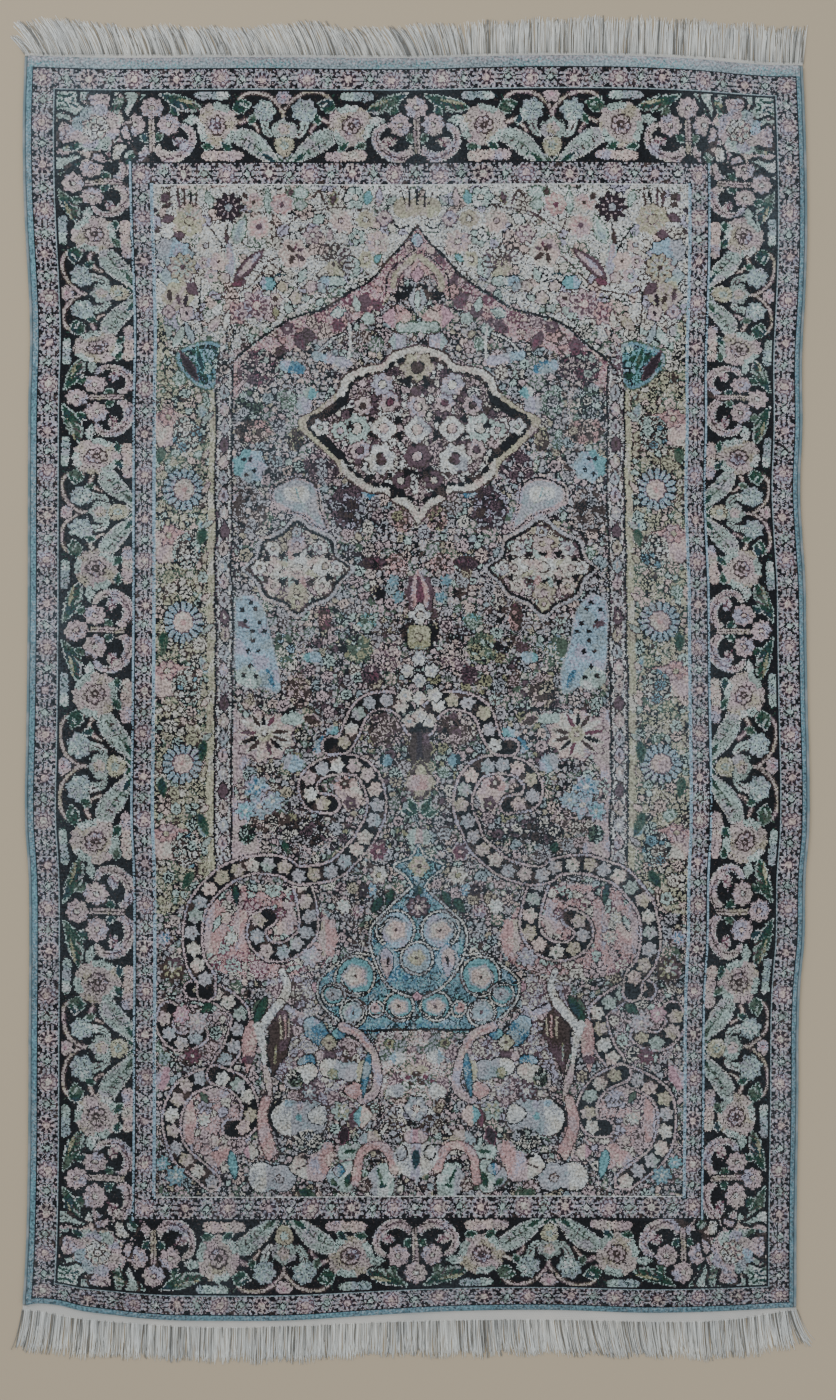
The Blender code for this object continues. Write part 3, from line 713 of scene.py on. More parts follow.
spandrelMotifs = (          # the pale corner's sprays, from the guard at the left to the axis, top to bottom
    (vine, (170, 554, 155, 567, 137, 580, 116, 585, 79, 587, 68, 582), 1.8, umber),
    (vine, (164, 566, 150, 574, 133, 578), 1.4, umber), (vine, (180, 590, 176, 572, 171, 556), 1.6, umber),
    (vine, (258, 477, 234, 483, 218, 485, 203, 493, 190, 508, 177, 523, 163, 530), 2.0, umber),
    (vine, (268, 470, 236, 474, 212, 478, 192, 494), 1.6, navy),
    (vine, (257, 566, 242, 544, 236, 531), 1.8, navy), (vine, (230, 568, 231, 548, 229, 505), 1.6, navy),
    (vine, (265, 499, 268, 467, 264, 432), 1.8, navy),
    (vine, (93, 556, 80, 550, 66, 556, 58, 548), 1.4, umber),
    (vine, (30, 600, 36, 580, 22, 562, 8, 566), 1.8, navy), (vine, (50, 600, 50, 584, 30, 566), 1.6, umber),
    (cloud, 306, 599, 14, 13, umber, 10, None, mauve), (vine, (292, 606, 290, 588), 3.4, umber),
    (vine, (284, 606, 283, 590), 3, umber), (vine, (275, 604, 277, 588), 3, navy),
    (vine, (268, 604, 270, 590), 3, umber), (leaf, 299, 592, 310, 586, 8, umber, None, 5),
    (flower, 278, 571, 20, sand, 8, None, straw, umber, straw, dict(depth=0.18)),
    (vine, (264, 586, 272, 578, 284, 580, 292, 572), 1.2, olive),
    (leaf, 296, 576, 311, 569, 12, mauve, umber), (leaf, 284, 556, 298, 548, 11, mauve, umber),
    (flower, 318, 583, 4, plum, 4), (flower, 317, 558, 4, umber, 4),
    (leaf, 256, 606, 250, 586, 10, mint, moss, 2),
    (flower, 230, 586, 18, plum, 10, navy, fog, dict(depth=0.3, heartSize=0.24, split=rose)),
    (flower, 199, 592, 13, shell, 7, None, umber, None, salmon, dict(heartSize=0.2)),
    (leaf, 212, 604, 206, 594, 9, umber, white, 5), (leaf, 181, 578, 181, 610, 10, mint, moss, 4),
    (flower, 164, 590, 14, salmon, 7, None, ruby, None, shell, dict(heartSize=0.24)),
    (flower, 193, 563, 15, shell, 8, None, mauve, None, salmon, dict(heartSize=0.24)),
    (cloud, 142, 604, 22, 13, mint, 5, moss), (cloud, 142, 590, 14, 13, sage, 4, moss),
    (leaf, 153, 600, 154, 610, 8, umber, moss, 5),
    (vine, (126, 600, 120, 607, 115, 600, 112, 592), 3.2, umber),
    (leaf, 104, 590, 99, 606, 9, umber, olive, 2),
    (flower, 76, 598, 14, mint, 6, navy, cream, navy, dict(split=navy)),
    (leaf, 62, 590, 58, 608, 12, aqua, moss, 2), (leaf, 47, 588, 45, 610, 9, rose, umber, 2),
    (flower, 93, 570, 15, shell, 9, None, rose, umber, dict(heartSize=0.2)),
    (flower, 62, 572, 12, sand, 8, None, cream, umber, dict(heartSize=0.24)),
    (leaf, 128, 568, 113, 578, 13, mint, navy, 2),
    (flower, 128, 554, 11, rose, 6, mauve, cream, mauve, dict(depth=0.3, split=mauve)),
    (leaf, 107, 546, 108, 560, 8, beige, umber),
    (flower, 73, 550, 11, mint, 5, navy, cream, navy, dict(depth=0.3, split=navy)),
    (flower, 48, 544, 15, shell, 8, None, cream, umber, rose, dict(heartSize=0.2)),
    (flower, 63, 523, 11, straw, 6, None, cream, umber, dict(heartSize=0.28)),
    (leaf, 52, 520, 44, 530, 8, aqua, moss, 5), (flower, 40, 574, 9, rose, 4, mauve, mauve),
    (leaf, 36, 590, 26, 600, 10, sage, navy, 2), (cloud, 8, 586, 40, 24, sand, 6, None, straw),
    (vine, (0, 608, 0, 590), 3, navy), (vine, (9, 608, 9, 588), 2.4, navy),
    (vine, (18, 604, 14, 590), 2, navy), (flower, 151, 531, 19, shell, 6, dict(depth=0.14)),
    (leaf, 150, 532, 160, 542, 8, umber, None, 5), (leaf, 152, 530, 157, 517, 8, umber, None, 5),
    (leaf, 150, 530, 137, 520, 8, umber, None, 5), (leaf, 148, 533, 138, 537, 5, mauve, None, 5),
    (leaf, 150, 534, 147, 544, 5, ruby, None, 5), (cloud, 98, 512, 30, 22, straw, 6, None, sand),
    (cloud, 80, 514, 20, 28, mint, 5, navy, fog), (cloud, 104, 496, 34, 12, mint, 5, navy, sky),
    (leaf, 122, 494, 112, 482, 10, slate, umber, 5), (flower, 101, 518, 3, umber, 4),
    (cloud, 183, 494, 20, 17, aqua, 6, navy, sky), (vine, (176, 500, 170, 506, 162, 505), 2.2, deepTeal),
    (leaf, 146, 497, 138, 512, 11, mint, navy, 2), (flower, 165, 491, 7, beige, 5, navy),
    (flower, 175, 475, 8, beige, 6, mauve, None, umber), (flower, 131, 491, 7, beige, 5, umber),
    (flower, 149, 477, 9, beige, 5, navy), (leaf, 142, 474, 130, 480, 9, sage, navy, 5),
    (leaf, 175, 466, 176, 452, 9, olive, umber, 5), (flower, 159, 463, 6, sage, 5, navy),
    (leaf, 224, 499, 186, 536, 17, mauve, umber, 9, rose), (leaf, 210, 498, 228, 492, 9, ruby, umber, 5),
    (leaf, 228, 504, 232, 548, 12, lilac, slate), (leaf, 222, 541, 210, 576, 18, mint, moss, 5, slate),
    (leaf, 233, 540, 232, 560, 8, umber, None, 5), (flower, 259, 540, 11, cream, 5, None, fog, umber, shell),
    (flower, 243, 521, 12, shell, 6, None, umber, dict(heartSize=0.18)),
    (flower, 260, 520, 8, rose, 5, None, cream, umber), (flower, 252, 503, 9, rose, 5, None, sage, moss),
    (flower, 236, 501, 7, beige, 5, umber), (cloud, 297, 532, 50, 34, sky, 9, navy, fog, dict(turn=0.3)),
    (cloud, 304, 504, 26, 24, slate, 5, navy),
    (flower, 288, 514, 18, sand, 9, umber, umber, None, sage, dict(heartSize=0.2, split=umber)),
    (flower, 295, 478, 21, sand, 6, None, None, None, beige), (leaf, 304, 472, 306, 490, 8, umber, None, 5),
    (leaf, 292, 468, 296, 484, 7, umber, None, 5), (leaf, 284, 482, 286, 464, 7, plum, None, 5),
    (leaf, 283, 494, 270, 480, 14, mauve, umber, 5), (flower, 306, 460, 8, rose, 4, mauve, mauve),
    (flower, 283, 458, 10, rose, 4, plum, plum, dict(turn=0.6)),
    (flower, 198, 468, 19, rose, 7, mauve, shell, ruby, mauve, dict(depth=0.3, split=ruby)),
    (flower, 222, 458, 14, salmon, 6, mauve, rose, ruby, mauve, dict(depth=0.3)),
    (leaf, 252, 404, 226, 440, 12, cream, umber, 3, shell), (leaf, 258, 436, 240, 456, 12, beige, umber, 4),
    (leaf, 236, 438, 232, 462, 9, cream, umber, 3), (leaf, 300, 416, 284, 446, 12, mint, navy, 4),
    (leaf, 276, 420, 286, 448, 9, slate, navy, 4), (flower, 309, 436, 8, sage, 5, navy),
)


def spandrel(chart, seed):
    # Pale corner of the field above the arch, with airy sprays
    outline = ((-6, 640), (330, 640), (330, 395), (237, 388)) + archLine[::-1][1:]
    where, mask = chart.patch(outline)
    chart.meadow(where, mask, 12.0, (cream, white, white, cream, white, fog),
                 (cream, white, shell, lilac, white), (umber, moss, navy, umber), seed, bare=0.62)
    near = chart.y[where] + chart.x[where] * 0.3 < 520
    chart.meadow(where, mask & near, 9.0, (cream, white, fog), (cream, rose, mint, white),
                 (umber, moss, navy), seed + 4, bare=0.3)
    chart.draw(spandrelMotifs)
    for turn in np.linspace(0.4, 3.6, 9):
        spots = ((6, 0), (22, -0.16), (26, 0), (22, 0.16), (6, 0))
        petal = [(102 + r * np.cos(turn + s), 518 + r * np.sin(turn + s)) for r, s in spots]
        chart.chain(petal, 1.7, umber, 5, 1)
    for turn in np.linspace(0, 6.28, 12):
        chart.vine(((278 + 8 * np.cos(turn), 571 + 8 * np.sin(turn)),
                    (278 + 16 * np.cos(turn), 571 + 16 * np.sin(turn))), 1.1, olive)


archMotifs = (              # below the arch, from the axis outward
    (cloud, 25, 454, 34, 28, salmon, 4, None, pink), (vine, (38, 462, 30, 468, 26, 460, 16, 464), 2, umber),
    (cloud, 24, 424, 24, 22, lilac, 5, umber, slate), (cloud, 8, 442, 36, 12, mint, 6, moss),
    (cloud, 0, 512, 26, 34, salmon, 6, umber, dict(turn=1.57)), (cloud, 0, 506, 14, 18, pink, 4, umber),
    (cloud, 0, 480, 34, 30, navy, 7), (cloud, 0, 474, 22, 30, cream, 5, None, fog),
    (leaf, 0, 462, 0, 486, 9, mint, umber), (flower, 23, 479, 8, navy, dict(depth=0.35)),
    (leaf, 106, 456, 88, 462, 13, mint, deepTeal, 2), (leaf, 72, 460, 76, 480, 11, mint, umber, 2),
    (cloud, 59, 452, 17, 17, sage, 5, umber, mint),
    (flower, 49, 470, 9, ruby, 7, None, umber, None, mauve, dict(depth=0.35)),
    (flower, 61, 489, 8, ruby, 6, None, None, None, rose, dict(depth=0.4)),
    (flower, 98, 444, 9, ruby, 6, None, None, None, mauve, dict(depth=0.35)),
    (flower, 86, 474, 8, ruby, 6, None, rose, dict(depth=0.4)),
    (flower, 118, 454, 9, ruby, 6, None, None, None, salmon, dict(depth=0.35)),
    (leaf, 148, 434, 138, 412, 15, mauve, umber, 2, ruby), (flower, 160, 440, 9, mauve, 5, None, rose),
    (vine, (176, 430, 166, 418, 176, 408), 2.4, umber), (leaf, 124, 402, 112, 412, 7, navy, None, 5),
    (vine, (84, 446, 82, 424, 84, 402), 3.2, white), (vine, (128, 404, 108, 424, 90, 434), 2.6, white, navy),
    (vine, (4, 536, 15, 527, 25, 517, 35, 505, 38, 492, 39, 478), 1.6, navy),
    (vine, (4, 528, 12, 520, 20, 512, 27, 502, 30, 490), 7, sand),
    (vine, (4, 522, 12, 514, 20, 504, 23, 494), 1.4, umber), (cloud, 0, 547, 13, 16, sky, 4, navy),
)


def niche(chart, seed):
    # The niche's own ground under the arch: a rosy band along the arch, then small flowers closer and closer
    outline = archLine + ((237, -230), (150, -240), (60, -240), (-6, -240))
    where, mask = chart.patch(outline)
    chart.meadow(where, mask, 8.6, softGround, mixedTints, darkYarns, seed + 1, bare=0.02, ink=2.15)
    near = np.hypot(chart.x[where] / 1.3, chart.y[where] + 70) + chart.lot[where] * 12 < 175
    chart.meadow(where, mask & near, 7.6, softGround, mixedTints + (mauve, olive), darkYarns, seed + 3,
                 blooms=2.8, ink=2.3)
    for outline in (
            (226, -20, 212, -40, 206, -80, 214, -100, 206, -150, 196, -200, 226, -214),
            (226, 236, 206, 246, 190, 238, 196, 226, 226, 214)):
        chart.patch(outline, rose)
    under = [(x, y - 3) for x, y in archLine] + [(x - 7, y - 34) for x, y in archLine[::-1]]
    chart.bed(under, 10, (salmon, rose, pink, beige), (shell, rose, salmon, mauve), (ruby, umber, mauve),
              seed + 2, bare=0.5)
    chart.draw(archMotifs)
    # Bigger palmettes filled with fine marks: x, y, length, width, ground, tints, dark
    speckled = (
        (194, 391, 54, 50, beige, (mauve, ruby, sage, rose), plum),
        (201, 314, 48, 34, shell, (umber, salmon, sand), umber),
        (118, 272, 50, 46, rose, (mauve, mauve, fog), plum),
        (206, 348, 36, 44, mint, (fog, cream, moss), navy),
        (160, 348, 30, 36, mint, (ash, sage), moss),
        (149, 305, 22, 32, olive, (sand, umber), umber),
        (206, 218, 46, 60, ash, (umber, fog, beige), umber),
        (86, 222, 48, 60, lilac, (mauve, fog, umber), plum),
        (75, 51, 40, 40, straw, (olive, moss, mint), moss),
        (39, 40, 36, 40, shell, (rose, beige), mauve),
        (59, 19, 26, 26, ruby, (mauve, rose), plum),
        (115, 88, 18, 34, umber, (salmon, ruby), umber),
        (64, 84, 26, 22, aqua, (mint, sage), moss),
        (27, 152, 34, 34, salmon, (rose, beige), umber),
        (57, 155, 34, 18, ruby, (mauve, umber), plum),
        (147, 0, 34, 48, shell, (rose, sand, umber), umber),
        (165, 48, 32, 44, cream, (sky, cream, moss), moss),
        (41, -48, 46, 44, beige, (mauve, rose, umber), umber),
        (20, 208, 30, 36, salmon, (olive, rose), umber),
        (215, -120, 20, 30, shell, (cream, mint), mauve),
        (181, -160, 60, 30, shell, (cream, rose, umber), umber),
        (138, -172, 70, 34, ash, (umber, cream, mauve), navy),
        (210, -174, 22, 26, fern, (mint, moss), navy))
    chart.stippled(speckled, seed + 20)
    for x, y, length, width, yarn, tint, turn in (
            (206, 272, 42, 40, sky, aqua, 0.4), (154, 392, 34, 15, blue, sky, 0.3),
            (104, 402, 52, 12, lilac, sky, 0.2), (138, 346, 22, 26, lilac, fog, 0.0),
            (131, 362, 18, 14, aqua, mint, 0.2), (131, 40, 22, 14, sky, aqua, 0),
            (106, -52, 16, 20, aqua, sky, 0.6), (120, -66, 16, 24, sky, blue, 0.6),
            (154, -88, 26, 22, sky, lilac, 0.3), (41, -84, 18, 16, teal, deepTeal, 0.2),
            (93, -107, 18, 12, sky, lilac, 0), (60, 240, 18, 14, blue, sky, 0)):
        chart.cloud(x, y, length, width, yarn, 7, tint=tint, turn=turn)
    for x, y in ((213, 280), (205, 280), (200, 267), (183, 267), (210, 262), (176, 282), (192, 290)):
        chart.flower(x, y, 3.4, navy, 4, depth=0.3)
    spottedStrip(chart)
    fanPalmette(chart)
    for x, y, size in ((32, 134, 8), (25, 114, 8), (48, 118, 9), (93, 53, 7), (102, 98, 6), (18, 73, 8)):
        chart.flower(x, y, size, teal if x < 35 and y > 100 else navy, depth=0.4)


def spottedStrip(chart):
    # A pale blue strip that leans across the niche, dotted with dark buds
    chart.patch((224, 110, 205, 116, 188, 96, 180, 60, 170, 20, 172, -2, 190, 4, 214, 14, 225, 40), sky,
                edge=fog)
    chart.patch((222, 24, 205, 30, 192, 12, 200, 2, 220, 8), mint)
    for x, y in (
            (205, 107), (216, 98), (200, 100), (194, 82), (202, 72), (188, 71), (202, 60), (209, 48),
            (196, 47), (206, 30), (213, 18), (199, 17), (212, 84)):
        chart.flower(x, y, 3.6, navy, 4, depth=0.3, turn=x)
    chart.leaf(222, 84, 206, 76, 9, mauve)
    chart.leaf(186, 26, 176, 2, 9, blue)


def fanPalmette(chart):
    # A fan of petals spread round a yellowish heart
    chart.cloud(188, -55, 74, 60, shell, 9, mauve, rose)
    for k, turn in enumerate(np.linspace(-2.8, 3.0, 13)):
        yarn = (umber, navy, ruby, cream)[k % 4]
        chart.leaf(188 + 9 * np.cos(turn), -53 + 9 * np.sin(turn), 188 + 32 * np.cos(turn),
                   -53 + 28 * np.sin(turn), 7, yarn, cream)
    chart.flower(188, -53, 11, straw, 9, heart=cream, ring=umber)
    chart.vine((165, -26, 150, -20, 134, -22, 120, -32), 2.6, navy)
    chart.cloud(154, -34, 30, 14, mint, 7)
    chart.leaf(142, -32, 120, -40, 12, umber, shell, 2)


def medallion(chart, seed):
    # The big pointed medallion: a cream band, a toothed dark line inside it and ringed flowers on mauve brown
    outline = (
        (-6, 421), (16, 416), (34, 409), (45, 398), (70, 393), (90, 382), (100, 361), (124, 341), (146, 325),
        (124, 298), (100, 276), (93, 262), (75, 246), (59, 240), (41, 240), (30, 229), (16, 222), (-6, 214))
    chart.patch(outline, cream, edge=umber, width=3.0)
    chart.patch([(x, 317 + (y - 317) * 0.99) for x, y in outline if x > 90], sand)
    inner = [(x * 0.89, 317 + (y - 317) * 0.87) for x, y in outline]
    chart.bed(inner, 9.5, (beige, rose, mauve, umber, mauve), (cream, mauve, white, rose, white),
              (umber, navy, plum), seed + 5, bare=0.08)
    line = smoothLine(inner, 2.0)
    tooth = np.where(np.arange(len(line)) % 6 < 3, 6.0, 2.2) * np.where(line[:, 0] > 92, 2.0, 1.0)
    chart.stroke(line, tooth, navy)
    for x, y, size, yarn, heart in (
            (43, 372, 15, lilac, cream), (34, 350, 12, rose, ruby), (45, 281, 19, white, umber),
            (75, 318, 19, mint, cream), (96, 316, 11, mint, rose), (20, 255, 12, mauve, cream),
            (0, 392, 20, sand, umber), (70, 292, 12, rose, mauve), (66, 346, 12, rose, umber),
            (0, 345, 14, rose, shell), (0, 285, 16, mauve, rose)):
        chart.flower(x, y, size, yarn, 7, umber, heart, navy, depth=0.22, heartSize=0.34, turn=x)
    for x, y, size in (
            (91, 352, 8), (12, 375, 9), (52, 310, 8), (23, 310, 8), (27, 242, 10), (12, 265, 8), (0, 303, 8),
            (56, 330, 6), (24, 328, 6), (82, 340, 6), (84, 322, 6), (60, 258, 6)):
        chart.flower(x, y, size, navy, 3, depth=0.5, turn=y)
    chart.flower(119, 319, 11, white, edge=navy, heart=sage, ring=umber, depth=0.3)
    for x in (41, 0):
        chart.flower(x, 317.5, 16, white, 4, umber, shell, umber, heartSize=0.36)
    chart.flower(56, 281, 6, white, 4)
    chart.flower(36, 286, 6, white, 4)


def smallMedallion(chart, seed):
    # Eight lobes inside a heavy dark line, with a second line outside it
    x0, y0 = 148.0, 148.0
    lobes = (
        (210, 148), (196, 160), (190, 178), (178, 184), (165, 192), (149, 205), (132, 194), (116, 186),
        (106, 180), (102, 162), (84, 148), (100, 132), (107, 120), (118, 112), (132, 106), (149, 94),
        (164, 106), (178, 112), (189, 120), (195, 134))
    wide = [(x0 + (x - x0) * 1.13, y0 + (y - y0) * 1.15) for x, y in lobes]
    chart.patch(wide, ash, edge=navy, width=1.8)
    chart.bed(lobes, 9.5, (cream, cream, shell, ash), (cream, sand, rose, mint), (umber, mauve, navy),
              seed + 7, bare=0.05)
    chart.patch(lobes, edge=navy, width=4.2)
    for x, y, size, yarn in (
            (149, 178, 13, rose), (149, 118, 15, sand), (182, 148, 16, cream), (115, 150, 16, cream),
            (120, 172, 10, white), (178, 172, 10, white), (118, 128, 11, cream),
            (178, 127, 11, shell), (196, 149, 9, white), (100, 149, 9, white), (149, 193, 7, fog),
            (149, 105, 9, straw)):
        chart.flower(x, y, size, yarn, 6, umber, beige, umber, depth=0.25, heartSize=0.24, turn=x)
    for k in range(8):
        turn = k * 0.7854 + 0.39
        chart.leaf(x0 + 8 * np.cos(turn), y0 + 8 * np.sin(turn), x0 + 28 * np.cos(turn),
                   y0 + 26 * np.sin(turn), 9, (straw, salmon, mint, shell)[k % 4])
    for x, y in (
            (166, 164), (132, 165), (166, 131), (132, 131), (149, 164), (149, 132), (186, 160), (111, 161),
            (187, 137), (110, 138)):
        chart.flower(x, y, 5.5, navy, 3, depth=0.5, turn=x)
    chart.flower(x0, y0, 15, cream, 8, heart=cream, ring=umber, depth=0.25, heartSize=0.4)


def paleCartouche(chart):
    # A pale drop that hangs from the big medallion's side, veined in sage
    outline = (
        178, 228, 176, 246, 158, 256, 140, 257, 124, 246, 120, 222, 112, 196, 124, 200, 138, 212, 160, 218)
    chart.patch(outline, fog, edge=rose, width=6)
    chart.chain(outline, 2.0, navy, 3, 2)
    chart.vine((124, 250, 140, 258, 158, 256, 176, 246), 2.6, navy)
    chart.cloud(150, 238, 34, 20, white, 6)
    chart.vine((158, 240, 144, 230, 130, 212), 1.6, sage)
    chart.vine((150, 246, 146, 232), 1.4, aqua)


def axisMotifs(chart):
    # What stands on the middle line between the medallion and the vase
    chart.cloud(0, 118, 34, 52, ruby, 8, umber, mauve)
    chart.leaf(0, 92, 0, 146, 22, salmon, rose, 5, ruby)
    chart.flower(0, 92, 13, white, 4, navy, cream, umber, depth=0.4)
    chart.flower(4, 65, 19, navy, 6)
    chart.flower(0, 65, 17, olive, 4, heart=sand, ring=umber, depth=0.16, turn=0.78)
    for x, y in ((0, 40), (14, 24), (0, 12), (18, -6), (0, -10), (12, -37), (0, -30)):
        chart.flower(x, y, 9, white if y > 0 else cream, edge=navy, heart=fog, depth=0.25)
    chart.cloud(0, -70, 30, 46, plum, 7, tint=umber)
    chart.leaf(0, -134, 0, -84, 40, umber, olive, 7, sand)
    chart.cloud(6, -112, 26, 20, salmon, 6, tint=beige)
    for s in (1, -1):
        chart.leaf(4, -150, 18 + 4 * s, -138 - 8 * s, 11, fern, mint, 2)
    chart.flower(50, -195, 11, ruby, 6, rose, salmon, plum, depth=0.3)
    chart.flower(48, -224, 12, cream, 6, umber, olive, umber, depth=0.3)
    chart.cloud(0, -178, 30, 22, beige, 7, tint=mint)


def columnPanels(chart, seed):
    # The niche's yellow column beside the inner guard: blue rosettes and peach half flowers in turn
    outline = (249, 362, 262, 372, 284, 380, 300, 398, 325, 410, 325, -280, 300, -272, 249, -232)
    chart.bed(outline, 8.6, (straw, sand, cream, sand, straw), (straw, mint, shell, cream),
              (umber, moss, navy, navy), seed + 9, bare=0.1, ink=2.2)
    chart.patch((249, 360, 254, 364, 257, 200, 258, 0, 257, -200, 249, -230), straw)
    for y in (319, 177, 12.5, -185):
        chart.cloud(303, y, 46, 56, shell, 7, umber, salmon, turn=1.57)
        chart.flower(306, y + 12, 12, salmon, 6, mauve, straw, umber, depth=0.3, split=mauve)
        where, u, v = chart.at(283, y - 8, 24)
        chart.meadow(where, np.hypot(u * 1.1, v * 0.85) < 19, 7.5, (cream, mint, navy),
                     (cream, white, mint, teal), (navy, umber), seed + 400 + int(y))
        chart.leaf(260, y + 8, 266, y + 28, 9, teal, mint)
    for y in (244.5, 83, -88.7):
        chart.flower(287, y, 25, sky, 16, navy, depth=0.1)
        where, u, v = chart.at(287, y, 27)
        rho, angle = np.hypot(u, v), np.arctan2(v, u)
        chart.knot(where, (rho < 23) & (rho > 13) & (np.cos(16 * angle) < -0.55), navy)
        chart.knot(where, (rho < 24.5) & (rho > 15) & (np.cos(16 * angle) > 0.6), slate)
        chart.flower(287, y, 12.5, shell, 9, mauve, salmon, depth=0.1, heartSize=0.3)
    for k, y in enumerate(np.arange(-190, 330, 43.0)):
        chart.leaf(264, y, 251 + 3 * (k % 3), y + 13 - 5 * (k % 2), 8, (sage, shell, sand)[k % 3], umber)
    for x, y, tipX, tipY in (
            (262, -62, 264, -86), (312, -106, 310, -130), (266, -150, 256, -176), (276, -220, 288, -240),
            (262, 196, 266, 176), (312, 70, 310, 48), (312, 296, 316, 276)):
        chart.leaf(x, y, tipX, tipY, 12, fern, moss)
    chart.patch((240, 420, 260, 424, 290, 414, 296, 396, 276, 372, 252, 366, 240, 392), teal, edge=moss)
    chart.bed((244, 416, 262, 420, 288, 410, 292, 396, 274, 376, 254, 370, 244, 392), 8, (teal, aqua, blue),
              (aqua, sky, mint, fern), (deepTeal, navy, fern), seed + 12)
    chart.leaf(270, 376, 292, 412, 12, plum, mauve, 3)
    chart.leaf(262, 386, 272, 420, 8, fern, aqua, 2)
    stripe = (227, 405, 247, 368, 247, -225, 227, -220)
    chart.bed(stripe, 7.2, (ash, fog, cream), (white, beige, fog), (navy, umber, mauve), seed + 13)
    across, along = chart.x, chart.y
    tall = (along > -226) & (along < 396)
    for x, half, yarn in ((248, 1.2, navy), (227.5, 1.1, navy), (244, 0.8, white), (231, 0.8, white)):
        chart.knots[tall & (np.abs(across - x) < half) & (along < 396 - (x - 227) * 1.4)] = yarnNumber[yarn]
    for k, y in enumerate(np.arange(-214, 372, 21.0)):
        chart.leaf(237.5, y, 237.5, y + 19, 12, (ash, rose, fog, beige, mauve)[k % 5], navy, 0)
        chart.leaf(237.5, y + 5, 237.5, y + 14, 4, (umber, mauve, cream)[k % 3])


scrollLines = {             # middle lines of the black bands that carry blossoms
    "crescent": (8, -44, 16, -24, 36, -12, 60, -16, 76, -30, 83, -50, 92, -66, 108, -68),
    "main": (108, -138, 129, -134, 135, -114, 122, -97, 99, -90, 76, -92, 62, -103, 54, -120, 51, -137, 54,
             -153, 61, -168, 69, -184, 84, -201, 101, -215, 124, -222, 149, -224, 163, -215, 182, -211, 203,
             -211, 223, -218, 243, -228, 260, -246, 272, -265, 276, -284, 277, -299, 276, -316, 272, -333,
             260, -349, 258, -366),
    "inner": (147, -226, 140, -246, 135, -266, 133, -284, 139, -299, 158, -314, 183, -315, 197, -301, 196,
              -284, 184, -275),
    "lower": (276, -363, 258, -362, 223, -384, 217, -400, 227, -434, 237, -447, 247, -464, 267, -472, 284,
              -482, 297, -500, 301, -521, 298, -544, 288, -565, 272, -579, 251, -595),
    "lowerInner": (247, -464, 223, -476, 209, -492, 205, -509, 210, -528, 228, -531),
    "ring": (307, -388, 311, -405, 300, -422, 283, -426, 268, -418),
}


def scrollBand(chart, name, width=20.0, pitch=20.0, seed=0):
    # A dark band between pale and dashed lines, with a pale blossom every pitch along it
    line = smoothLine(scrollLines[name], 0.8)
    chart.chain(scrollLines[name], width + 8.4, navy, 5, 2)
    chart.stroke(line, width + 5.4, rose)
    chart.chain(scrollLines[name], width, navy, 9, 1)
    luck = np.random.RandomState(seed)
    for k, (x, y) in enumerate(line[int(pitch * 0.6)::int(pitch / 0.8)]):
        yarn = (sand, ash, beige, shell, fog, sage, cream)[luck.randint(7)]
        x, y = x + luck.normal(0, 0.8), y + luck.normal(0, 0.8)
        chart.flower(x, y, width * 0.47, yarn, 5 + k % 2, depth=0.26, turn=luck.uniform(0, 6))
        chart.flower(x + luck.normal(0, 2), y + luck.normal(0, 2), 1.3, (umber, beige, moss)[k % 3], 3)


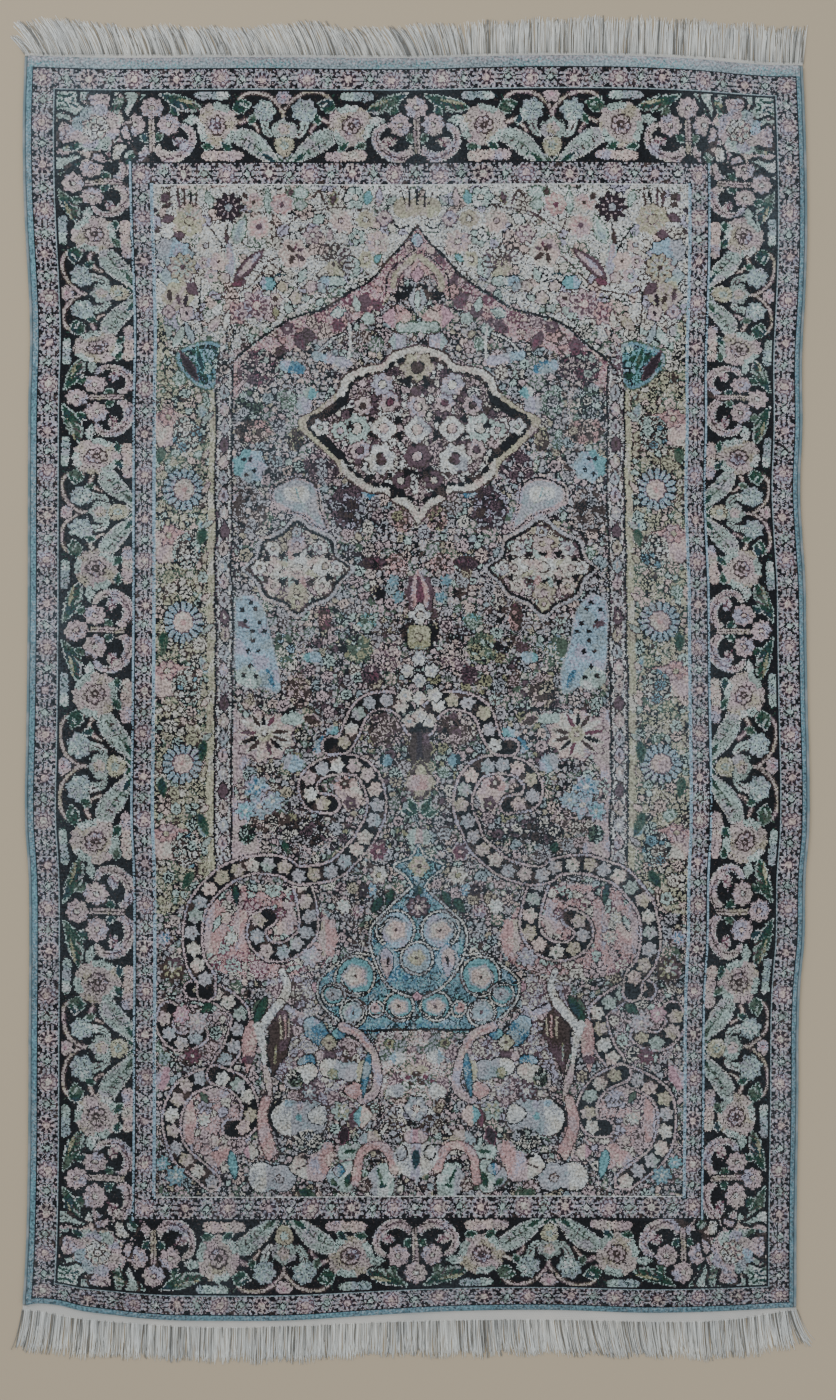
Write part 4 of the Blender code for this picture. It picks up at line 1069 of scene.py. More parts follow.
def lowerField(chart, seed):
    # Below the column and round the vase: scrolls on salmon, birds' curves and pale cartouches
    outline = (330, -270, 300, -268, 250, -228, 160, -232, -6, -236, -6, -640, 330, -640)
    chart.bed(outline, 8.0, softGround, mixedTints, darkYarns, seed + 15, bare=0.02, ink=2.25)
    for outline, ground, tints, darks, pitch in (
            ((262, -262, 240, -244, 200, -236, 156, -240, 120, -262, 104, -300, 112, -330, 150, -344, 200,
              -350, 250, -338, 264, -300), (salmon, rose, salmon), (cream, mint, rose), (umber, navy, ruby),
             11),
            ((290, -500, 262, -482, 230, -486, 206, -500, 196, -524, 214, -560, 240, -584, 272, -570, 292,
              -540), (rose, salmon, rose), (lilac, cream, rose), (plum, umber), 11),
            ((306, -366, 262, -372, 226, -392, 226, -420, 250, -452, 290, -452, 316, -430, 318, -390),
             (rose, ash, mauve), (cream, mint, rose), (umber, navy), 9),
            ((184, -345, 130, -350, 124, -400, 90, -420, 62, -430, 60, -500, 110, -520, 170, -470, 184,
              -400), (ash, cream, lilac), (cream, rose, lilac), (umber, mauve), 8.5)):
        chart.bed(outline, pitch, ground, tints, darks, seed + 16, bare=0.3)
    for x, y, length, width, yarn, tint, turn in (
            (250, -290, 30, 66, salmon, rose, 0.15), (216, -290, 22, 56, salmon, rose, 0),
            (163, -276, 30, 44, rose, salmon, 0), (111, -300, 26, 50, salmon, beige, 0),
            (186, -528, 17, 80, salmon, shell, 0), (281, -522, 20, 60, salmon, rose, 0),
            (253, -486, 48, 14, rose, salmon, 0.1), (246, -566, 40, 18, salmon, rose, -0.6),
            (110, -563, 18, 34, salmon, rose, 0), (312, -470, 18, 34, pink, rose, 0.3)):
        chart.cloud(x, y, length, width, yarn, 6, tint=tint, turn=turn)
    for k, name in ((0, "inner"), (2, "ring"), (3, "lower"), (4, "lowerInner")):
        scrollBand(chart, name, seed=seed + k)
    for x, y, size, yarn, tint in (
            (197, -118, 16, sky, blue), (193, -140, 17, sky, lilac), (178, -134, 13, sky, slate),
            (210, -146, 13, sky, aqua), (310, -300, 10, lilac, blue),
            (301, -338, 16, umber, olive), (131, -323, 13, lilac, fog),
            (270, -402, 15, ash, rose), (290, -392, 11, pink, rose), (228, -300, 9, cream, mint),
            (236, -276, 8, cream, sand), (312, -572, 9, aqua, sky), (296, -588, 13, teal, slate),
            (168, -270, 7, ruby, rose), (276, -444, 10, ruby, mauve), (262, -520, 9, cream, mint),
            (250, -546, 8, beige, shell), (57, -242, 8, sky, blue), (68, -242, 7, plum, plum),
            (92, -262, 10, cream, mint), (74, -268, 9, rose, ruby)):
        chart.flower(x, y, size, yarn, 7, umber, cream, tint=tint, depth=0.32, heartSize=0.2, turn=x)
    for x, y, tipX, tipY, width, yarn in (
            (163, -184, 160, -198, 11, fern), (226, -236, 222, -260, 8, fern),
            (30, -242, 38, -262, 10, fern), (250, -380, 266, -392, 12, fern),
            (194, -374, 196, -400, 14, moss), (229, -560, 224, -584, 10, aqua),
            (190, -446, 176, -500, 10, beige), (244, -274, 252, -292, 8, mint)):
        chart.leaf(x, y, tipX, tipY, width, yarn, navy, 2)


lowerMotifs = (             # from the bird beside the vase down to the guard, with the axis at the right
    (leaf, 183, -370, 202, -407, 14, fern, navy), (leaf, 203, -398, 209, -464, 21, salmon, navy),
    (cloud, 208, -448, 16, 12, mauve, 10, None, ruby), (leaf, 163, -386, 177, -466, 34, umber, navy, 3),
    (vine, (169, -396, 168, -422), 2.4, sand), (vine, (163, -394, 162, -422), 2.2, salmon),
    (vine, (157, -398, 158, -420), 2.2, sand), (vine, (174, -430, 174, -450), 2.2, olive),
    (vine, (166, -381, 154, -387, 141, -392), 7, lilac), (vine, (165, -376, 153, -382, 140, -388), 2, navy),
    (vine, (166, -340, 161, -360, 168, -380), 7, white, umber, dict(taper=-0.5)),
    (vine, (168, -378, 180, -393, 192, -410), 10, white, umber),
    (vine, (196, -406, 190, -430, 188, -452), 10, white, dict(taper=0.55)), (flower, 164, -346, 1.6, navy, 3),
    (cloud, 124, -412, 42, 24, blue, 5, navy, sky, dict(turn=1.0)),
    (cloud, 134, -451, 22, 18, blue, 3, navy, sky), (cloud, 96, -416, 17, 14, blue, 4, navy, aqua),
    (flower, 108, -427, 9, straw, 4, navy, umber), (cloud, 112, -443, 24, 11, mauve, 4, umber, rose),
    (cloud, 141, -468, 46, 24, cream, 3, navy, ash, dict(turn=-0.5)),
    (cloud, 148, -476, 16, 8, olive, 10, moss),
    (cloud, 95, -459, 50, 24, fog, 3, navy, cream, dict(turn=0.15)),
    (cloud, 102, -464, 12, 13, olive, 5, moss),
    (vine, (184, -496, 189, -516, 187, -538, 178, -562), 11, salmon, umber, dict(taper=-0.35)),
    (cloud, 145, -518, 70, 44, fog, 5, umber, white), (cloud, 120, -514, 24, 24, white, 3, navy),
    (vine, (166, -498, 178, -510, 179, -526, 171, -541), 4.4, navy), (cloud, 158, -501, 11, 8, sky),
    (cloud, 144, -517, 8, 10, aqua), (cloud, 143, -503, 9, 11, lilac),
    (flower, 132, -487, 13, mauve, 7, navy, white, None, fog, dict(depth=0.4)),
    (vine, (212, -596, 200, -581, 180, -571, 169, -561, 146, -564), 2.6, navy),
    (cloud, 177, -590, 58, 34, fog, 4, navy, white), (flower, 167, -591, 5, ash, 5, umber, umber),
    (cloud, 129, -576, 50, 42, rose, 3, navy, cream), (cloud, 113, -572, 14, 34, salmon),
    (vine, (138, -560, 134, -574, 148, -580), 1.6, umber), (vine, (140, -565, 132, -567), 5, navy),
    (leaf, 144, -606, 124, -613, 11, fern, moss),
    (flower, 92, -510, 13, sage, 6, navy, cream, moss, olive, dict(depth=0.35)),
    (leaf, 76, -508, 78, -532, 11, ruby, umber), (leaf, 86, -530, 94, -552, 14, plum, ruby, 2),
    (cloud, 66, -516, 22, 26, shell, 4, umber, aqua), (cloud, 82, -560, 32, 18, sage, 4, None, mint),
    (leaf, 91, -560, 72, -558, 6, fern, None, 5), (cloud, 90, -590, 38, 42, mint, 3, umber, fog),
    (cloud, 94, -581, 14, 15, blue, 4, navy, lilac), (leaf, 105, -592, 95, -603, 9, fern, None, 5),
    (leaf, 79, -585, 85, -603, 9, fern, moss, 5),
    (vine, (116, -608, 116, -599, 109, -597, 105, -605, 99, -609, 93, -600), 1.8, navy),
    (cloud, 55, -545, 30, 24, sand, 3, navy, fog), (cloud, 42, -596, 38, 44, mint, 3, navy, fog),
    (leaf, 48, -580, 40, -600, 5, fern, None, 5), (leaf, 46, -602, 34, -600, 6, fern, None, 5),
    (vine, (73, -596, 70, -568, 60, -556, 44, -553, 32, -563, 26, -582), 10, salmon, umber),
    (vine, (57, -573, 42, -572), 3.4, navy), (cloud, 0, -566, 52, 60, lilac, 3, None, white),
    (cloud, 0, -540, 30, 18, pink, 6, umber, rose),
    (vine, (30, -550, 14, -552, 11, -564, 20, -570, 24, -562), 1.8, navy),
    (leaf, 0, -556, 0, -582, 14, deepTeal),
    (vine, (26, -490, 14, -492, 12, -504, 22, -516, 34, -526, 42, -538), 10, white, navy, dict(taper=0.6)),
    (cloud, 202, -560, 18, 20, cream, 4, navy, pink), (leaf, 229, -558, 222, -592, 13, aqua, deepTeal),
    (leaf, 264, -486, 256, -500, 9, moss, navy, 2), (cloud, 120, -360, 20, 12, rose, 5, umber, pink),
)
lowerStipple = (
    (132, -547, 38, 34, cream, (cream, fog, sage), navy),
    (150, -470, 20, 22, sage, (cream, moss), navy),
    (20, -525, 34, 26, fog, (lilac, cream), umber),
    (62, -600, 18, 20, rose, (beige, cream), umber))


def vase(chart, seed):
    # The blue vase: a crown, a heart-shaped belly with ringed curls, a wide base and a pale foot with handles
    crown = ((0, -188), (9, -203), (30, -212), (16, -226), (8, -238))
    belly = (
        (8, -236), (22, -252), (40, -269), (55, -285), (58, -308), (51, -334), (33, -358), (14, -370),
        (-2, -376))
    base = (
        (52, -324), (76, -320), (99, -331), (118, -348), (122, -362), (119, -378), (102, -397), (78, -411))
    foot = (-6, -414, 44, -414, 48, -440, 44, -470, 30, -500, -6, -504)
    for outline in (base + ((-6, -411), (-6, -330)), belly + ((-6, -376), (-6, -230)),
                    crown + ((-6, -240), (-6, -188))):
        chart.bed(outline, 9.0, (teal, teal, aqua, slate), (aqua, sky, teal, slate, sky),
                  (deepTeal, navy, blue), seed + 31, bare=0.35, ink=1.7)
    chart.bed(foot, 9, (shell, white, rose), (white, shell, rose, fog), (umber, moss, mauve), seed + 60,
              bare=0.35)
    chart.corded(base)
    curls = (           # x, y, size, ground, heart, and the angle where the curl leaves the ring
        (27, -291, 23, sky, shell, 5.2), (76, -347, 24, aqua, shell, 4.2), (22, -384, 18, aqua, shell, 3.6),
        (78, -391, 16, slate, sky, 2.0), (102, -369, 14, aqua, fog, 1.0), (50, -386, 9, aqua, salmon, 0.0),
        (0, -325, 20, sky, straw, 0.0),
    )
    for k, (x, y, size, ground, heart, turn) in enumerate(curls):
        if k == 6:
            chart.cloud(37, -328, 28, 38, sky, 4, blue, fog)
            chart.leaf(39, -312, 36, -348, 20, rose, deepTeal)
            chart.leaf(36, -322, 37, -336, 5, navy)
            chart.corded(belly)
        around = np.linspace(turn, turn + 6.6, 12)
        chart.flower(x, y, size, ground, 3, depth=0.0)
        chart.corded([(x + size * np.cos(a), y + size * np.sin(a)) for a in around], width=1.9)
        inward = size * np.linspace(0.95, 0.42, 7)
        if size > 12 and x:
            chart.corded([(x + r * np.cos(a), y + r * np.sin(a)) for r, a in zip(inward, around[:7])],
                         width=1.4)
        chart.cloud(x, y, size * 1.4, size * 1.25, fog, 5)
        chart.cloud(x, y, size * 1.1, size * 0.95, heart, 5)
        chart.flower(x, y, 2.4, umber, 3, depth=0.3, turn=x)
    chart.corded(crown, dark=deepTeal)
    chart.draw((
        (flower, 0, -214, 13, straw, 5, None, umber, None, shell, dict(heartSize=0.2)),
        (leaf, 0, -248, 0, -236, 12, fern, deepTeal),
        (flower, 0, -262, 14, mauve, 8, plum, shell, plum, rose, dict(split=navy)),
        (cloud, 0, -371, 13, 10, pink, 4, navy), (flower, 0, -397, 4, navy, 4),
        (flower, 52, -384, 6, salmon, 4, None, plum, dict(turn=0.5)),
        (leaf, 44, -252, 56, -270, 14, fern, navy), (vine, (-4, -412, 40, -412, 90, -410), 3.4, navy),
        (cloud, 23, -445, 22, 18, white, 5, None, sky), (cloud, 6, -460, 16, 12, sand, 4),
        (cloud, 24, -486, 24, 18, white, 3), (flower, 2, -466, 3.4, umber, 4),
        (flower, 10, -470, 3.6, ruby, 4), (flower, 6, -478, 3, umber, 4), (flower, 17, -474, 3, ruby, 4),
        (flower, 34, -428, 6, olive, 5, moss, None, umber), (cloud, 77, -486, 23, 22, salmon, 3, navy),
        (cloud, 68, -462, 12, 26, straw),
        (vine, (92, -408, 71, -416, 59, -432, 53, -446, 50, -460, 48, -474, 54, -489, 68, -497), 10.5, rose,
         navy),
        (vine, (88, -409, 71, -417, 60, -432, 54, -446), 4, salmon),
        (leaf, 59, -440, 67, -494, 10, blue, deepTeal),
        (flower, 0, -508, 15, fog, 5, navy, cream, umber, white),
    ))


def drawField(knots, xs, ys, seed):
    chart = Chart(knots, xs, ys, seed)
    spandrel(chart, seed)
    niche(chart, seed)
    columnPanels(chart, seed)
    lowerField(chart, seed)
    smallMedallion(chart, seed)
    paleCartouche(chart)
    medallion(chart, seed)
    chart.cloud(86, -124, 46, 34, shell, 7, tint=salmon, turn=1.3)
    chart.flower(90, -112, 8, umber, heart=cream, depth=0.4)
    chart.flower(84, -136, 8, mauve, edge=umber, heart=straw, depth=0.4)
    chart.leaf(112, -124, 124, -114, 8, navy)
    scrollBand(chart, "main", seed=seed + 1)
    scrollBand(chart, "crescent", width=19.0, seed=seed + 8)
    axisMotifs(chart)
    chart.draw(lowerMotifs)
    chart.stippled(lowerStipple, seed + 80, 6.0)
    vase(chart, seed)
    line = smoothLine(archLine, 1.0)
    chart.stroke(line, 3.0, navy)


def cadPoints(node):
    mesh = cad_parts[node].data
    points = np.empty(len(mesh.vertices) * 3, np.float32)
    mesh.vertices.foreach_get("co", points)
    return points.reshape(-1, 3).astype(float)


def pileSides():
    # The pile's rim, in order round the middle, cut at its corners into left, right, lower and upper sides
    points = cadPoints("pile")
    rim = np.unique(points[points[:, 2] < 0.1 * mm, :2].round(6), axis=0)
    rim = rim[np.argsort(np.arctan2(rim[:, 1], rim[:, 0]))]
    corner = {(a, b): int(np.argmax(rim @ (a, b))) for a in (-1, 1) for b in (-1, 1)}

    def run(first, last):
        steps = (last - first) % len(rim)
        return rim[(first + np.arange(steps + 1)) % len(rim)]

    left, right = run(corner[-1, 1], corner[-1, -1])[::-1], run(corner[1, -1], corner[1, 1])
    lower, upper = run(corner[-1, -1], corner[1, -1]), run(corner[1, 1], corner[-1, 1])[::-1]
    return {"left": left[:, ::-1], "right": right[:, ::-1], "lower": lower, "upper": upper}


side = pileSides()

weave = {                                   # how the pattern lies on the cloth, all in millimetres
    "cord": 4.35,                           # what the overcast side covers of the pattern
    "acrossLines": (-469.65, -462, -434, -347.5, -321.5, 0, 321.5, 347.5, 434, 462, 469.65),
    "acrossPlaces": (-471.25, -464.9, -435.3, -344.9, -319.3, 0, 329.1, 352.9, 434.7, 463.4, 468.15),
    "acrossShares": (1, 1, 0.9, 0.7, 0.55, 0, 0.55, 0.7, 0.9, 1, 1),
    "alongLines": (-766, -754, -726, -639.5, -613.5, 0, 613.5, 639.5, 726, 754, 766),
    "alongPlaces": (-765.6, -758.8, -735, -650.2, -622.1, -6.1, 609.9, 638, 724.7, 752.8, 766.8),
    "alongShares": (1, 1, 0.75, 0.15, 0.1, 0, 0.4, 0.5, 0.8, 1, 1),
    "middle": ((-766, -2), (-690, -2), (-320, 0.5), (-140, 3), (60, 3), (312, 0.5), (590, 0), (766, -1)),
}


def betweenLines(value, lines, places, shares, firstOff, lastOff):
    # Straight interpolation between border lines, each moved by its share of the edge's own offset
    half = len(lines) // 2
    k = np.clip(np.searchsorted(lines, value) - 1, 0, len(lines) - 2)
    lines, places, shares = (np.asarray(a, float) for a in (lines, places, shares))
    off = [np.where(k + step < half, firstOff, lastOff) * shares[k + step] for step in (0, 1)]
    t = (value - lines[k]) / (lines[k + 1] - lines[k])
    return (1 - t) * (places[k] + off[0]) + t * (places[k + 1] + off[1])


def layCloth(u, v):
    # Places on the rug, in metres, of points of the pattern in millimetres
    x = u * 1.0
    for _ in range(2):
        lower = smoothCurve(side["lower"][:, 0] / mm, side["lower"][:, 1] / mm, x)
        upper = smoothCurve(side["upper"][:, 0] / mm, side["upper"][:, 1] / mm, x)
        y = betweenLines(v, weave["alongLines"], weave["alongPlaces"], weave["alongShares"],
                         lower - weave["alongPlaces"][0], upper - weave["alongPlaces"][-1])
        left = smoothCurve(side["left"][:, 0] / mm, side["left"][:, 1] / mm, y)
        right = smoothCurve(side["right"][:, 0] / mm, side["right"][:, 1] / mm, y)
        x = betweenLines(u, weave["acrossLines"], weave["acrossPlaces"], weave["acrossShares"],
                         left - weave["acrossPlaces"][0], right - weave["acrossPlaces"][-1])
        middle = smoothCurve(*zip(*weave["middle"]), y)
        x = x + middle * np.clip(1 - np.abs(u) / 321.5, 0, 1)
    return x * mm, y * mm


def pileHeight(x, y, thickness, unevenness):
    # The same slow waves as the pile's solid
    wave = np.sin(x / 0.10 + 0.8) * np.cos(y / 0.16) + np.sin(y / 0.085 + 2 * x)
    return thickness + unevenness * wave


pileFacts = {
    "thickness": 5.5 * mm, "unevenness": 0.35 * mm, "edgeDrop": 1.5 * mm, "foundation": 0.9 * mm,
    "knotsAcrossFace": 3, "tuftHeight": 0.22 * mm,
    "abrash": 0.12, "mottle": 0.10, "knotTone": 0.20, "fleck": 0.56, "sheen": 0.13,     # shares of the tone
    "paintedSheenTint": (150, 170, 182),             # painted sheen: the pale tint where the pile leans toward the light
    "slip": 0.06 * mm,                      # how unevenly the knots are shorn
}


def paintKnots(piece, knots, faceCount, step=1):
    # Face attributes hold the yarns of a face's nine knots, three neighbours of a row as x, y and z; a corner
    # attribute holds the place inside the face
    across = pileFacts["knotsAcrossFace"]
    mesh = piece.data
    for row in range(across):
        numbers = np.stack([knots[row::across, k::across] for k in range(across)], axis=-1).reshape(-1, 3)
        extra = np.full((len(mesh.polygons) - len(numbers), 3), float(knots[0, 0]))
        paintMesh(piece, f"yarnRow{row}", "FLOAT_VECTOR", "FACE", np.concatenate([numbers, extra]))
    square = np.array([(0, 0, 0), (1, 0, 0), (1, 1, 0), (0, 1, 0)], np.float32)[::step] * across
    places = np.full((len(mesh.loops), 3), 0.5, np.float32)
    places[:faceCount * 4] = np.tile(square, (faceCount, 1))
    paintMesh(piece, "knotPlace", "FLOAT_VECTOR", "CORNER", places)


def knottedWool(name, relief, tone, brightness):
    # Wool pile: every knot takes its own yarn's colour, with slow dye changes, darker slow patches, painted
    # shade toward the lower end where the pile leans away from the light, a painted pale sheen in patches,
    # and a tuft's relief
    made, wire, shader, place = newCloth(name, 0.82, 0.12)
    u, v, _ = wire.node("ShaderNodeAttribute", {"attribute_name": "knotPlace"}, output=1).axes()
    rows = [wire.node("ShaderNodeAttribute", {"attribute_name": f"yarnRow{k}"}, output=1) for k in range(3)]
    row = rows[0].toward(rows[1], v > 1.0).toward(rows[2], v > 2.0)
    first, second, third = row.axes()
    number = first + (second - first) * (u > 1.0) + (third - second) * (u > 2.0)
    stops = [(k / len(yarns), seenColour(*colour)) for k, colour in enumerate(yarns.values())]
    colour = wire.node("ShaderNodeValToRGB", stops=stops, Fac=(number + 0.5) / len(yarns))
    abrash = noise(wire, place, 0.030, 2.0, (14.0, 1.0, 1.0)).span(0.3, 0.7, -1, 1)
    mottle = noise(wire, place, 0.045, 3.0).span(0.3, 0.7, -1, 1)
    speck = noise(wire, place, 0.0011, 1.0).span(0.25, 0.75, -1, 1)
    # Darker in slow patches, and painted shade that darkens the pile toward the lower end, where it leans
    # away from the light
    shade = noise(wire, place, 0.24, 2.0).span(0.3, 0.62, 0.92, 1.0) * place.axes()[1].span(-0.75, 0.4, 0.82,
            1.0)
    strength = brightness * shade + abrash * pileFacts["abrash"] * tone + mottle * pileFacts["mottle"] * tone
    fleck = noise(wire, place, 0.0028, 2.0).span(0.3, 0.7, -1, 1)
    strength = strength + (fleck * pileFacts["fleck"] + speck * pileFacts["knotTone"]) * tone
    away = [((axis.fraction() - 0.5) * (axis.fraction() - 0.5)) * 4.0 for axis in (u, v)]
    tuft = 1.0 - (away[0] + away[1]) * 0.5 + speck * 0.5
    # Painted sheen: in slow patches the colour is drawn toward a pale blue-grey, as where the pile leans
    # toward the light
    pale = seenColour(*pileFacts["paintedSheenTint"])
    paintedSheenShare = noise(wire, place, 0.19, 2.0, (1.0, 2.2, 1.0)).span(0.45, 0.7) * pileFacts["sheen"]
    finishCloth(wire, shader, colour.toward(pale, paintedSheenShare).tinted(strength), tuft, relief)
    return made


def clothGrid(columns, rows):
    # Even steps over the pattern, from its left and lower line to its right and upper one
    return np.meshgrid(np.linspace(weave["acrossLines"][0], weave["acrossLines"][-1], columns + 1),
                       np.linspace(weave["alongLines"][0], weave["alongLines"][-1], rows + 1))


def rimOf(grid):
    # The outermost row and column of a grid, once round
    return np.concatenate([grid[0, :-1], grid[:-1, -1], grid[-1, :0:-1], grid[:0:-1, 0]])


def makePile(knots):
    # Top of the pile: a grid of faces over the pattern, each three by three knots, with walls at its rim
    across = pileFacts["knotsAcrossFace"]
    columns, rows = knots.shape[1] // across, knots.shape[0] // across
    u, v = clothGrid(columns, rows)
    x, y = layCloth(u, v)
    luck = np.random.RandomState(5)
    z = pileHeight(x, y, pileFacts["thickness"], pileFacts["unevenness"])
    z += luck.normal(0, pileFacts["slip"], z.shape)
    edge = np.zeros_like(z, bool)
    edge[[0, -1]] = edge[:, [0, -1]] = True
    z = np.where(edge, z - pileFacts["edgeDrop"], z)
    top = np.stack([x, y, z], axis=-1)
    rim = rimOf(top)
    number = np.arange(top[..., 0].size).reshape(top.shape[:2])
    ring = rimOf(number)
    foot = rim.copy()
    foot[:, 2] = pileFacts["foundation"]
    below = number.size + np.arange(len(ring))
    wall = np.stack([below, np.roll(below, -1), np.roll(ring, -1), ring], axis=-1)
    quads = gridFaces(rows + 1, columns + 1)
    finish = knottedWool("pile wool", pileFacts["tuftHeight"], 1.0, 1.05)
    piece = layMesh("pile_knotted", np.concatenate([top.reshape(-1, 3), foot]),
                    np.concatenate([quads, wall]), finish)
    paintKnots(piece, knots, len(quads))
    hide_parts("pile")
    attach(piece, "root")
    return piece


backFacts = {"thickness": 1.0 * mm, "inset": 1e-4, "relief": 0.25 * mm, "every": 2}


def makeBack(knots):
    # Underside: the same pattern seen from below, in the foundation's flat closed slab
    across = pileFacts["knotsAcrossFace"]
    seen = knots[::backFacts["every"], ::backFacts["every"]]
    seen = seen[:seen.shape[0] // across * across, :seen.shape[1] // across * across]
    columns, rows = seen.shape[1] // across, seen.shape[0] // across
    u, v = clothGrid(columns, rows)
    x, y = layCloth(u * (1 - backFacts["inset"]), v * (1 - backFacts["inset"]))
    under = np.stack([x, y, np.zeros_like(x)], axis=-1)
    number = np.arange(x.size).reshape(x.shape)
    ring = rimOf(number)
    rim = under.reshape(-1, 3)[ring]
    rim[:, 2] = backFacts["thickness"]
    above = number.size + np.arange(len(ring))
    quads = gridFaces(rows + 1, columns + 1)[:, ::-1]
    wall = np.stack([ring, np.roll(ring, -1), np.roll(above, -1), above], axis=-1)
    finish = knottedWool("pile wool, back", backFacts["relief"], 0.7, 0.96)
    piece = layMesh("foundation_back", np.concatenate([under.reshape(-1, 3), rim]),
                    np.concatenate([quads, wall]),
                    finish, ends=[above])
    paintKnots(piece, seen, len(quads), -1)
    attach(piece, "root")
    return piece


cordFacts = {
    "radius": 1.95 * mm, "wrapPitch": 1.7 * mm, "wrapDepth": 0.16 * mm, "ringsPerWrap": 3, "around": 12,
    "slant": 1.0, "wander": 0.25 * mm,
}


def sideYarn():
    # Wool wound round the edge: each turn of it painted lighter on its crown as a highlight, and darker in
    # the grooves between turns as painted shade
    made, wire, shader, place = newCloth("side yarn", 0.8, 0.15)
    crown = wire.node("ShaderNodeAttribute", {"attribute_name": "crown"}, output=2)
    worn = noise(wire, place, 0.022, 3.0).span(0.42, 0.66)
    # Painted highlight and shade: the colour is scaled up on each turn's crown and down in the groove between
    # turns
    colour = worn.between(seenColour(124, 148, 158), seenColour(164, 172, 176)).tinted(0.72 + 0.36 * crown)
    finishCloth(wire, shader, colour, noise(wire, place, 0.0006, 2.0), 0.12 * mm)
    return made


def tubesAlong(paths, radii, around):
    # Rings of points round each of several paths, in planes across it: paths are n x steps x 3, radii
    # n x steps x around. A ring's two axes are the flat sideways one and the one square to it and the path
    ahead = np.gradient(paths, axis=1)
    ahead /= np.linalg.norm(ahead, axis=-1, keepdims=True)
    flat = np.stack([-ahead[..., 1], ahead[..., 0], np.zeros(ahead.shape[:2])], axis=-1)
    flat /= np.linalg.norm(flat, axis=-1, keepdims=True)
    up = np.cross(ahead, flat)
    turn = np.arange(around) * 2 * np.pi / around
    spoke = flat[:, :, None] * np.cos(turn)[:, None] + up[:, :, None] * np.sin(turn)[:, None]
    return paths[:, :, None] + spoke * radii[..., None]


def tubeMesh(name, rings, finish):
    # Joined tubes with closed ends from an array of tubes x rings x points x 3
    count, steps, around = rings.shape[:3]
    quads = gridFaces(steps, around, around=True)
    perTube = steps * around
    quads = (quads[None] + (np.arange(count) * perTube)[:, None, None]).reshape(-1, 4)
    first = np.arange(count)[:, None] * perTube
    caps = list(first + np.arange(around)[::-1]) + list(first + perTube - around + np.arange(around))
    return layMesh(name, rings.reshape(-1, 3), quads, finish, ends=caps)


def makeSideCord(name, edge, outward, finish):
    # An overcast side: the radius grows and shrinks once a turn of the yarn, and the turns slant round it
    facts = cordFacts
    steps = int((edge[-1, 0] - edge[0, 0] - 2.4 * mm) / facts["wrapPitch"]) * facts["ringsPerWrap"]
    y = np.linspace(edge[0, 0] + 1.2 * mm, edge[-1, 0] - 1.2 * mm, steps)
    x = smoothCurve(edge[:, 0], edge[:, 1], y) + outward * (0.35 * mm + facts["radius"])
    x = x + facts["wander"] * 0.5 * np.sin(y / 0.009) * np.sin(y / 0.031)
    path = np.stack([x, y, np.full(steps, facts["radius"])], axis=-1)[None]
    turn = np.arange(facts["around"]) * 2 * np.pi / facts["around"]
    run = np.arange(steps)[:, None] / facts["ringsPerWrap"]
    crown = 0.5 + 0.5 * np.cos(2 * np.pi * run + facts["slant"] * turn)
    luck = np.random.RandomState(31 if outward > 0 else 32)
    fat = 1 + 0.06 * luck.normal(0, 1, steps)[:, None]
    radii = facts["radius"] - facts["wrapDepth"] * (1 - crown) * fat
    piece = tubeMesh(name, tubesAlong(path, radii[None], facts["around"]), finish)
    # The crown share: 1 on each turn's top, 0 in the groove; the side yarn paints highlight and shade from it
    paintMesh(piece, "crown", "FLOAT", "POINT", crown)
    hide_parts(name.replace("_overcast", ""))
    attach(piece, "root")
    return piece


# Each fringed end in millimetres: place across, outer line of the flat-woven strip, line of the tips, lean
upperEnd = {
    "x": (-480, -444, -388, -350, -300, -175, -120, -60, 0, 50, 90, 150, 230, 320, 370, 437, 472),
    "strip": (772.6, 770.4, 770.4, 770.4, 770.2, 770.2, 769.8, 769.2, 769, 770.2, 771.4, 772.4, 772, 769.8,
              766.4, 760.6, 760.4),
    "tips": (808, 814, 812, 804.5, 806, 805, 811, 803, 806, 809, 811, 814.6, 816, 813.8, 809, 805, 803),
    "lean": (-20, -23, -19, -13, -15, -17, -17, -18, -19, -9, 0, 0, 1, 2, 1, 2, 4),
    "strands": 79, "root": 0.58, "middle": 0.62, "tip": 0.40, "spacing": 0.7, "cut": 1.6,
    "partings": ((-333, 2.2),), "apart": ((0, -492.5, 794, 2.6), (1, -488, 811, 3.4)),
    "yarns": 22, "thin": 0.40 * mm, "spread": (1.8, 1.9, 2.8), "ravel": 3.2, "parting": 0.8, "ridges": 3,
            "node": "fringe_upper",
    "side": "upper", "outward": 1, "seed": 71,
}
lowerEnd = {
    "x": (-480, -453, -427, -345, -264, -145, -57, 60, 145, 215, 300, 360, 405, 440, 464),
    "strip": (-762.6, -766.4, -771.4, -779.4, -784.2, -782.4, -778.6, -775.4, -774.8, -775.8, -777.4, -776.6,
              -772, -765.6, -762.6),
    "tips": (-808, -815, -818.5, -822, -825.5, -826, -819, -820, -817, -818.5, -821, -822.5, -818, -811,
             -806),
    "lean": (-9, -7, -5, -2, -1, -1, 0, 2, 5, 9, 6, 4, 5, 8, 10),
    "strands": 93, "root": 0.58, "middle": 0.62, "tip": 0.42, "spacing": 0.5, "cut": 2.0,
    "partings": ((-420, 1.6), (254, 1.4), (403, 1.4)), "apart": ((92, 475.5, -806, 6.4),),
    "yarns": 20, "thin": 0.40 * mm, "spread": (1.85, 2.0, 2.8), "ravel": 3.8, "parting": 0.9, "ridges": 6,
            "node": "fringe_lower",
    "side": "lower", "outward": -1, "seed": 83,
}
strandFacts = {
    "partingReach": 16.0,                   # how far a parting pushes the strands beside it, in millimetres
    "steps": 11, "around": 4, "lift": 1.15,
                   # of each yarn: its steps, its sides, how far it rides over others
    "swing": 0.75, "reach": (-0.17, 0.04),
                # its sideways wave in millimetres, and its length past the strand's
    "darkShare": 0.21,                      # share of the pairs of yarns that lie in shadow
}


def endCurve(end, column, x):
    return smoothCurve(end["x"], end[column], x)


